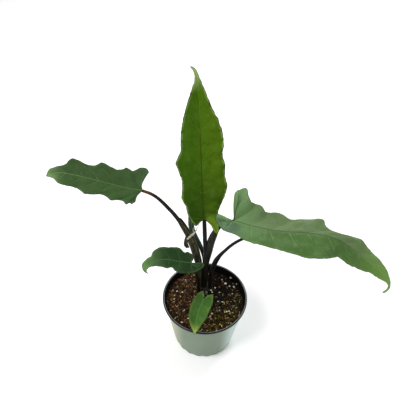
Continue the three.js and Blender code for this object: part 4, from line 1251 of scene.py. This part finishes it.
def soil_mesh(material):
    """The soil as one closed body with a fine top."""
    turns = 2 * np.pi * np.arange(SOIL_SIDES) / SOIL_SIDES
    floor, belly, shoulder = POT_WALL + 0.3, FOOT_SCALLOP_HEIGHT + 2, SOIL_LEVEL - 6
    levels = [(3, floor), (POT_BASE_RADIUS - POT_WALL - 4.5, floor),
              (wall_radius(belly) - FINE_WALL - 0.6, belly),
              (wall_radius(shoulder) - FINE_WALL - 0.3, shoulder)]
    levels += [(radius, None) for radius in np.linspace(SOIL_RADIUS, 1.2, SOIL_RINGS)]
    rings = []
    for radius, level in levels:
        x, y = radius * np.cos(turns), radius * np.sin(turns)
        heights = [soil_height(a, b) if level is None else level for a, b in zip(x, y)]
        rings.append(np.c_[x, y, heights])
    points = np.vstack(rings + [rings[0].mean(0)] + [rings[-1].mean(0)])
    return make_piece("potting_soil", points, loft_faces(len(rings), SOIL_SIDES), material)


def litter_shares(points):
    """How much of each kind of litter lies at each point of the soil, 1 being its full density."""
    x, y, z = points.T
    top = smoothstep(SOIL_LEVEL - 4.5, SOIL_LEVEL - 3, z)
    left = smoothstep(12, -18, x)
    mossy = smoothstep(-2, 22, x - 0.7 * y - 12) * smoothstep(-60, -44, y)
    cloud = np.array([0.5 + noise.noise(Vector((a, b, 9)) / 7) for a, b in zip(x, y)])
    tufts = np.array([0.5 + noise.noise(Vector((a, b, 40)) / 3.6) for a, b in zip(x, y)])
    tufts = smoothstep(0.5, 0.75, tufts)
    top = top * smoothstep(SOIL_RADIUS - 1, SOIL_RADIUS - 4, np.hypot(x, y))
    return {
        "peat": top * (0.75 + 0.5 * cloud),
        "bark": top * (0.35 + 0.65 * left) * cloud,
        "fibre": top * (0.25 + 0.75 * left) * cloud * smoothstep(53, 48, np.hypot(x, y)),
        "straw": top * np.clip(0.1 + 0.5 * left + 0.9 * mossy, 0, 1) * (0.15 + tufts),
        "moss": top * mossy * smoothstep(0.3, 0.6, cloud),
        "speck": top * smoothstep(0.3, 0.8, cloud),
    }


# Scattered grains


class GrainTree:
    """A Geometry Nodes tree that strews one shape of grain over a ground."""

    def __init__(self, name, inputs):
        self.tree = bpy.data.node_groups.new(name, "GeometryNodeTree")
        self.tree.is_modifier = True
        self.sockets = {}
        for label, kind in inputs.items():
            self.sockets[label] = self.tree.interface.new_socket(
                label, in_out="INPUT", socket_type="NodeSocket" + kind)
        self.tree.interface.new_socket(
            "Geometry", in_out="OUTPUT", socket_type="NodeSocketGeometry")
        self.group = self.tree.nodes.new("NodeGroupInput")

    def given(self, label):
        """A named input's socket."""
        return self.group.outputs[label]

    def node(self, kind, settings=None, output=0, **sockets):
        """Adds a node, fills its sockets by name and returns one of its outputs."""
        node = self.tree.nodes.new(kind)
        for label, value in (settings or {}).items():
            setattr(node, label, value)
        for label, value in sockets.items():
            socket = next(s for s in node.inputs if s.name == label.replace("_", " ") and s.enabled)
            if isinstance(value, bpy.types.NodeSocket):
                self.tree.links.new(value, socket)
            else:
                socket.default_value = value
        enabled = [s for s in node.outputs if s.enabled]
        return enabled[output] if isinstance(output, int) else node.outputs[output]

    def product(self, first, second):
        """The product of two numbers."""
        result = self.node("ShaderNodeMath", {"operation": "MULTIPLY"})
        for socket, value in zip(result.node.inputs, (first, second)):
            self.tree.links.new(value, socket)
        return result

    def lumpy(self, shape, scale, strength):
        """A shape whose points a noise pushes about."""
        push = self.node("ShaderNodeTexNoise", output="Color", Scale=scale, Detail=1.0)
        centred = self.node("ShaderNodeVectorMath", {"operation": "SUBTRACT"}, Vector=push)
        centred.node.inputs[1].default_value = (0.5, 0.5, 0.5)
        scaled = self.node("ShaderNodeVectorMath", {"operation": "SCALE"}, Vector=centred,
                           Scale=strength)
        return self.node("GeometryNodeSetPosition", Geometry=shape, Offset=scaled)

    def strew(self, grain, share_name, stretch, lean):
        """Grains on the ground by the share that it holds, turned and sized by chance."""
        share = self.node(
            "GeometryNodeInputNamedAttribute", {"data_type": "FLOAT"}, Name=share_name)
        density = self.product(share, self.given("Density"))
        spread = self.tree.nodes.new("GeometryNodeDistributePointsOnFaces")
        spread.distribute_method = "RANDOM"
        self.tree.links.new(self.given("Ground"), spread.inputs["Mesh"])
        self.tree.links.new(density, spread.inputs["Density"])
        self.tree.links.new(self.given("Seed"), spread.inputs["Seed"])
        turn = self.node("FunctionNodeRandomValue", {"data_type": "FLOAT_VECTOR"},
                         Min=(-lean, -lean, 0.0), Max=(lean, lean, WHOLE_TURN),
                         Seed=self.given("Seed"))
        turned = self.node("FunctionNodeEulerToRotation", Euler=turn)
        size = self.node("FunctionNodeRandomValue", {"data_type": "FLOAT"},
                         Min=GRAIN_SIZES[0], Max=GRAIN_SIZES[1], Seed=self.given("Seed"))
        sized = self.product(size, self.given("Size"))
        scale = self.node("ShaderNodeVectorMath", {"operation": "SCALE"}, Vector=stretch,
                          Scale=sized)
        copies = self.node("GeometryNodeInstanceOnPoints", Points=spread.outputs["Points"],
                           Instance=grain, Rotation=turned, Scale=scale)
        solid = self.node("GeometryNodeRealizeInstances", Geometry=copies)
        smooth = self.node("GeometryNodeSetShadeSmooth", Geometry=solid)
        return self.node(
            "GeometryNodeSetMaterial", Geometry=smooth, Material=self.given("Material"))

    def close(self, geometry):
        """Links the tree's output."""
        self.tree.links.new(geometry, self.tree.nodes.new("NodeGroupOutput").inputs[0])
        return self


GRAIN_INPUTS = {"Ground": "Geometry", "Density": "Float", "Size": "Float", "Seed": "Int",
                "Material": "Material"}


def run_tree(grain_tree, ground, values, name):
    """Runs a tree on a ground and returns the result as a plain mesh object."""
    modifier = ground.modifiers.new(name, "NODES")
    modifier.node_group = grain_tree.tree
    for label, value in values.items():
        modifier[grain_tree.sockets[label].identifier] = value
    bpy.context.view_layer.update()
    graph = bpy.context.evaluated_depsgraph_get()
    mesh = bpy.data.meshes.new_from_object(ground.evaluated_get(graph), depsgraph=graph)
    ground.modifiers.remove(modifier)
    if not mesh.polygons:
        raise RuntimeError(f"{name} came out empty")
    mesh.name = name
    piece = bpy.data.objects.new(name, mesh)
    bpy.context.scene.collection.objects.link(piece)
    return piece


def crumb_tree(name, share_name, stretch, lumpiness, subdivisions=1, lean=3.1):
    """Lumpy crumbs, chips or grains."""
    tree = GrainTree(name, GRAIN_INPUTS)
    ball = tree.node("GeometryNodeMeshIcoSphere", Radius=1.0, Subdivisions=subdivisions)
    grain = tree.lumpy(ball, 1.7, lumpiness)
    return tree.close(tree.strew(grain, share_name, stretch, lean))


def fibre_tree(name, share_name, length, bend, lean):
    """Bent thin fibres or shoots, whose unit is their thickness."""
    tree = GrainTree(name, GRAIN_INPUTS)
    line = tree.node(
        "GeometryNodeCurvePrimitiveLine", Start=(0.0, 0.0, 0.0), End=(length, 0.0, 0.0))
    line = tree.node("GeometryNodeResampleCurve", Curve=line, Count=6)
    bent = tree.lumpy(line, 0.09, bend)
    profile = tree.node("GeometryNodeCurvePrimitiveCircle", Resolution=3, Radius=1.0)
    tube = tree.node("GeometryNodeCurveToMesh", Curve=bent, Profile_Curve=profile, Fill_Caps=True)
    return tree.close(tree.strew(tube, share_name, (1.0, 1.0, 1.0), lean))


def drilled(pot, material):
    """The pot with its ring of drain holes cut by a Geometry Nodes tree."""
    inputs = {"Ground": "Geometry", "Circle": "Float", "Radius": "Float", "Material": "Material"}
    tree = GrainTree("drain_holes", inputs)
    circle = tree.node("GeometryNodeMeshCircle", Vertices=DRAIN_HOLES, Radius=tree.given("Circle"))
    half_step = (0, 0, math.pi / DRAIN_HOLES)
    turn = tree.node("GeometryNodeTransform", Geometry=circle, Rotation=half_step)
    drill = tree.node("GeometryNodeMeshCylinder", Vertices=DRILL_SIDES,
                      Radius=tree.given("Radius"), Depth=DRILL_DEPTH * MM)
    drills = tree.node("GeometryNodeInstanceOnPoints", Points=turn, Instance=drill)
    solid = tree.node("GeometryNodeRealizeInstances", Geometry=drills)
    cut = tree.tree.nodes.new("GeometryNodeMeshBoolean")
    cut.operation = "DIFFERENCE"
    tree.tree.links.new(tree.given("Ground"), cut.inputs["Mesh 1"])
    tree.tree.links.new(solid, cut.inputs["Mesh 2"])
    tree.close(tree.node("GeometryNodeSetMaterial", Geometry=cut.outputs["Mesh"],
                         Material=tree.given("Material")))
    values = {"Circle": DRAIN_CIRCLE * MM, "Radius": DRAIN_RADIUS * MM, "Material": material}
    return run_tree(tree, pot, values, "drilled_pot")


# Operators


class PLANT_OT_blades(bpy.types.Operator):
    """Build the six leaf blades with their veins, quilting and keels"""

    bl_idname = "plant.blades"
    bl_label = "Leaf blades"

    def execute(self, context):
        """Makes one piece for each blade."""
        tint = tuple(context.scene.plant_colours.leaf_tint)
        for name, spec in BLADES.items():
            material = leaf_finish(name + "_skin", spec["look"], tint)
            blade = blade_mesh("fine_" + name, spec, context.scene.plant_sizes, material)
            place_piece(blade, spec["slot"], name)
        return {"FINISHED"}


class PLANT_OT_stalks(bpy.types.Operator):
    """Build the petioles with their sheaths, and the rolled leaf"""

    bl_idname = "plant.stalks"
    bl_label = "Stalks and rolled leaf"

    def execute(self, context):
        """Makes one piece for each stalk."""
        tint = tuple(context.scene.plant_colours.sheath_tint)
        for name, spec in STALKS.items():
            material = stalk_finish(name + "_skin", spec["look"], tint)
            place_piece(stalk_mesh("fine_" + name, spec, material), spec["slot"], name)
        return {"FINISHED"}


class PLANT_OT_dry_rim(bpy.types.Operator):
    """Build the dry rim, its torn thread and the loose lobe of the left leaf's sheath"""

    bl_idname = "plant.dry_rim"
    bl_label = "Dry sheath rim"

    def execute(self, context):
        """Makes the strips and the lobe."""
        paper = dry_finish()
        rim = self.strip("dry_rim_strip", DRY_RIM, paper, RIM_HALF_THICKNESS)
        place_piece(rim, "dry_sheath", "dry_sheath_rim")
        thread = self.strip("dry_rim_thread", DRY_TWIG, paper, TWIG_HALF_THICKNESS)
        place_piece(thread, "dry_sheath")
        tint = tuple(context.scene.plant_colours.sheath_tint)
        skin = stalk_finish("sheath_lobe_skin", STALKS["left_leaf_petiole"]["look"], tint)
        place_piece(self.lobe(skin), "olive_sheath")
        return {"FINISHED"}

    def strip(self, name, knots, material, half_thickness):
        """A crumpled papery strip round the front of the sheath."""
        path, widths = Curve([k[:3] for k in knots]), [k[3] for k in knots]
        rings = []
        for share in np.linspace(0, 1, STRIP_RINGS):
            centre = path.at(share)[0]
            ahead = unit(path.at(share + 0.01)[0] - path.at(share - 0.01)[0])
            across = unit(np.cross(ahead, FRONT))
            out = np.cross(across, ahead)
            width = np.interp(share * (len(widths) - 1), range(len(widths)), widths)
            frayed = 1 + 0.35 * noise.noise(Vector((share * 16, 2, 5)))
            crumple = 0.5 * noise.noise(Vector((share * 9, 7, 1)))
            ring = []
            for turn in np.linspace(0, 2 * np.pi, 17)[:-1]:
                fold = 0.3 * math.cos(2.5 * turn + 9 * share)
                ring.append(centre + across * (math.cos(turn) * width * frayed + crumple)
                            - out * (math.sin(turn) * half_thickness - fold * width * 0.5))
            rings.append(ring)
        return loft(name, rings, material)

    def lobe(self, material):
        """The loose lobe: a thin cupped sheet between its root and its outer edge."""
        root, edge = Curve(FLAP_ROOT), Curve(FLAP_EDGE)
        rings = []
        for share in np.linspace(0, 1, FLAP_RINGS):
            inner, outer = root.at(share)[0], edge.at(share)[0]
            ahead = unit(edge.at(share + 0.01)[0] - edge.at(share - 0.01)[0])
            across = outer - inner
            normal = unit(np.cross(ahead, across))
            spread = np.linspace(0, 1, 9)
            cup = FLAP_CUP * np.sin(np.pi * spread)[:, None] * normal
            sheet = inner + across * spread[:, None] + cup
            thin = (FLAP_HALF_THICKNESS - FLAP_THINNING * spread)[:, None] * normal
            rings.append(np.vstack([sheet + thin, (sheet - thin)[::-1]]))
        rings = np.array(rings)[:, ::-1]

        def away_from_seam(ring, side):
            return (0.5, ring / 10)

        return loft("sheath_lobe", rings, material, "skin", away_from_seam)


class PLANT_OT_crown(bpy.types.Operator):
    """Build the ridged crown that the sheathed petioles stand on"""

    bl_idname = "plant.crown"
    bl_label = "Crown"

    def execute(self, context):
        """Makes the crown."""
        rings = []
        turns = 2 * np.pi * np.arange(CROWN_SIDES) / CROWN_SIDES
        for z in np.linspace(CROWN["bottom"], CROWN["top"], CROWN_RINGS):
            share = 0.6 + 0.4 * float(smoothstep(CROWN["bottom"] - 2, CROWN["bottom"] + 16, z))
            share -= 0.12 * float(smoothstep(CROWN["top"] - 3, CROWN["top"], z))
            scars = 1 + 0.04 * np.cos(5 * turns + z / 6) + 0.02 * math.cos(z * 2.2)
            fibres = 0.02 * np.cos(31 * turns + 2 * np.sin(z / 3))
            reach = share * (scars + fibres)
            rings.append(np.c_[CROWN["x"] + CROWN["half_width"] * reach * np.cos(turns),
                               CROWN["y"] + CROWN["half_depth"] * reach * np.sin(turns),
                               np.full(CROWN_SIDES, z)])
        place_piece(loft("ridged_crown", rings, crown_finish()), "stem", "crown")
        return {"FINISHED"}


class PLANT_OT_pot(bpy.types.Operator):
    """Build the nursery pot with its rounded lip, scalloped foot and drain holes"""

    bl_idname = "plant.pot"
    bl_label = "Nursery pot"

    def execute(self, context):
        """Makes the pot."""
        material = pot_finish(context.scene.plant_colours)
        turned = pot_mesh(material)
        pot = drilled(turned, material)
        bpy.data.objects.remove(turned)
        pot.name = "nursery_pot"
        pot.data.polygons.foreach_set("use_smooth", [True] * len(pot.data.polygons))
        pot.data.set_sharp_from_angle(angle=math.radians(CREASE_ANGLE))
        check_closed(pot)
        place_piece(pot, "pot", "pot")
        return {"FINISHED"}


class PLANT_OT_soil(bpy.types.Operator):
    """Build the soil with crumbs of peat, bark chips, fibres, moss and perlite on it"""

    bl_idname = "plant.soil"
    bl_label = "Soil"

    def execute(self, context):
        """Makes the soil and strews what lies on it."""
        peat = tuple(context.scene.plant_colours.peat)
        sizes = context.scene.plant_soil
        browns = (peat, linear("302110"), linear("664d2c"))
        soil = soil_mesh(soil_finish("peat_mix", browns))
        points = np.array([v.co for v in soil.data.vertices]) / MM
        litter = litter_shares(points)
        for label, shares in litter.items():
            attribute = soil.data.attributes.new(label, "FLOAT", "POINT")
            attribute.data.foreach_set("value", shares.astype(np.float32))
        crumb = sizes.crumb_size
        litters = (
            ("peat_crumbs", crumb_tree("peat_crumb_tree", "peat", (1.0, 1.0, 0.75), 0.9),
             sizes.crumb_density, crumb, (peat, "3a2713", "7c5632"), 0.85, 0.8),
            ("peat_lumps", crumb_tree("peat_lump_tree", "peat", (1.0, 0.9, 0.7), 1.0, 2),
             sizes.lump_density, 1.6 * crumb, (peat, "4a3218", "886234"), 0.5, 0.8),
            ("bark_chips", crumb_tree("bark_chip_tree", "bark", (2.2, 0.9, 0.4), 0.7, 1, 0.7),
             sizes.chip_density, 1.15 * crumb, ("4e3319", "8a6239", "c8a272"), 0.7, 0.7),
            ("straw_bits", crumb_tree("straw_bit_tree", "straw", (2.6, 0.5, 0.35), 0.5, 1, 0.9),
             sizes.straw_density, 1.1 * crumb, ("a08a5a", "cdb98a", "f0e6cb"), 0.6, 0.35),
            ("coir_fibres", fibre_tree("coir_fibre_tree", "fibre", 52.0, 14.0, 0.6),
             sizes.fibre_density, 0.14 * MM, ("5c4029", "96714a", "cdb287"), 0.7, 0.6),
            ("moss_shoots", fibre_tree("moss_shoot_tree", "moss", 13.0, 6.0, 1.5),
             sizes.moss_density, 0.26 * MM, ("4a4a12", "857f34", "cbbd74"), 0.6, 0.4),
            ("perlite_specks", crumb_tree("perlite_speck_tree", "speck", (1.0, 0.8, 0.8), 0.8),
             sizes.speck_density, 0.45 * crumb, ("d6cfc0", "efeae0", "faf8f2"), 0.2, 0.1),
        )
        for k, (name, tree, density, size, tones, gap_shade_depth, damp_and_shade_depth) in enumerate(litters):
            colours = [linear(tone) if isinstance(tone, str) else tone for tone in tones]
            material = soil_finish(name + "_skin", colours, 260.0, gap_shade_depth, damp_and_shade_depth)
            values = {"Density": density, "Size": size, "Seed": sizes.seed + k,
                      "Material": material}
            place_piece(run_tree(tree, soil, values, name), "soil")
        place_piece(self.perlite(), "soil")
        for label in litter:
            soil.data.attributes.remove(soil.data.attributes[label])
        place_piece(soil, "soil", "soil")
        return {"FINISHED"}

    def perlite(self):
        """The white grains, each a lumpy ball half sunk in the soil."""
        whites = (linear("cfc7b8"), linear("e6e1d6"), linear("fbf9f4"))
        material = soil_finish("perlite_skin", whites, 300.0, gap_shade_depth=0.0, damp_and_shade_depth=0.1)
        points, faces = [], []
        steps, sides = 7, 12
        turns = 2 * np.pi * np.arange(sides) / sides
        around = np.c_[np.cos(turns), np.sin(turns)]
        for k, (x, y, radius) in enumerate(PERLITE):
            centre = np.array([x, y, soil_height(x, y) + 0.75 * radius])
            rings = []
            for tilt in np.linspace(-80, 80, steps):
                level = math.sin(math.radians(tilt))
                flat = math.cos(math.radians(tilt))
                rings.append(np.c_[flat * around, np.full(sides, level)])
            ball = np.vstack(rings + [[(0, 0, -1)], [(0, 0, 1)]])
            lumps = [1 + 0.45 * noise.noise(Vector(p) * 1.3 + Vector((k, 2 * k, 0))) for p in ball]
            start = sum(len(p) for p in points)
            stretched = ball * np.array(lumps)[:, None] * 0.8 * radius * (1.2, 0.9, 0.85)
            points.append(centre + stretched)
            faces += [[start + n for n in face] for face in loft_faces(steps, sides)]
        return make_piece("perlite_grains", np.vstack(points), faces, material)


class PLANT_OT_studio(bpy.types.Operator):
    """Set the camera, the pale floor and the soft light"""

    bl_idname = "plant.studio"
    bl_label = "Camera, floor and light"

    def execute(self, context):
        """Makes the camera, the floor and the lamps."""
        scene = context.scene
        self.camera(scene)
        floor = bpy.data.meshes.new("studio_floor")
        corners = [(FLOOR_HALF * x, FLOOR_HALF * y, 0) for x, y in
                   ((-1, -1), (1, -1), (1, 1), (-1, 1))]
        floor.from_pydata(corners, [], [(0, 1, 2, 3)])
        paper = Finish("floor_paper", shine=0.2)
        floor.materials.append(paper.finish((0.93, 0.93, 0.93), 0.9))
        ground = bpy.data.objects.new("studio_floor", floor)
        scene.collection.objects.link(ground)
        world = bpy.data.worlds.new("studio")
        world.use_nodes = True
        background = world.node_tree.nodes["Background"]
        background.inputs["Color"].default_value = (1, 1, 1, 1)
        background.inputs["Strength"].default_value = WORLD_STRENGTH
        scene.world = world
        for name, (place, size, power) in LAMPS.items():
            self.lamp(scene, name, place, size, power)
        scene.view_settings.view_transform = "Standard"
        return {"FINISHED"}

    def camera(self, scene):
        """The camera, from its place, pitch and roll."""
        pitch, roll = math.radians(CAMERA_PITCH), math.radians(CAMERA_ROLL)
        ahead = Vector((0, math.cos(pitch), -math.sin(pitch)))
        level = Vector((1, 0, 0))
        above = level.cross(ahead)
        right = level * math.cos(roll) + above * math.sin(roll)
        up = above * math.cos(roll) - level * math.sin(roll)
        turn = Matrix((right, up, -ahead)).transposed().to_4x4()
        camera = bpy.data.objects.new("camera", bpy.data.cameras.new("camera"))
        camera.data.sensor_width = 36
        camera.data.lens = CAMERA_LENS
        camera.matrix_world = Matrix.Translation(Vector(CAMERA_AT) * MM) @ turn
        scene.collection.objects.link(camera)
        scene.camera = camera

    def lamp(self, scene, name, place, size, power):
        """A large soft square lamp that looks at the plant."""
        light = bpy.data.lights.new(name, "AREA")
        light.size = size
        light.energy = power
        lamp = bpy.data.objects.new(name, light)
        lamp.location = place
        towards = Vector(LAMPS_LOOK_AT) - Vector(place)
        lamp.rotation_euler = towards.to_track_quat("-Z", "Y").to_euler()
        scene.collection.objects.link(lamp)


OPERATORS = (PLANT_OT_studio, PLANT_OT_blades, PLANT_OT_stalks, PLANT_OT_dry_rim, PLANT_OT_crown,
             PLANT_OT_pot, PLANT_OT_soil)
SETTINGS = {"plant_sizes": PlantSizes, "plant_colours": PlantColours, "plant_soil": SoilSizes}


class PLANT_PT_panel(bpy.types.Panel):
    """Lists the sizes, the colours and the steps that build the plant"""

    bl_idname = "PLANT_PT_panel"
    bl_label = "Potted Alocasia"
    bl_space_type = "VIEW_3D"
    bl_region_type = "UI"
    bl_category = "Alocasia"

    def draw(self, context):
        """Draws each group of settings and a button for each step."""
        for group, kind in SETTINGS.items():
            box = self.layout.box()
            for label in kind.__annotations__:
                box.prop(getattr(context.scene, group), label)
        for operator in OPERATORS:
            self.layout.operator(operator.bl_idname)


def register():
    """Adds the settings, the steps and the panel."""
    for kind in (*SETTINGS.values(), *OPERATORS, PLANT_PT_panel):
        bpy.utils.register_class(kind)
    for label, kind in SETTINGS.items():
        setattr(bpy.types.Scene, label, PointerProperty(type=kind))


def unregister():
    """Takes the settings, the steps and the panel away again."""
    for label in SETTINGS:
        delattr(bpy.types.Scene, label)
    for kind in (PLANT_PT_panel, *reversed(OPERATORS), *SETTINGS.values()):
        bpy.utils.unregister_class(kind)


def main():
    """Builds the plant."""
    register()
    for operator in OPERATORS:
        group, step = operator.bl_idname.split(".")
        getattr(getattr(bpy.ops, group), step)()


if __name__ == "__main__":
    main()
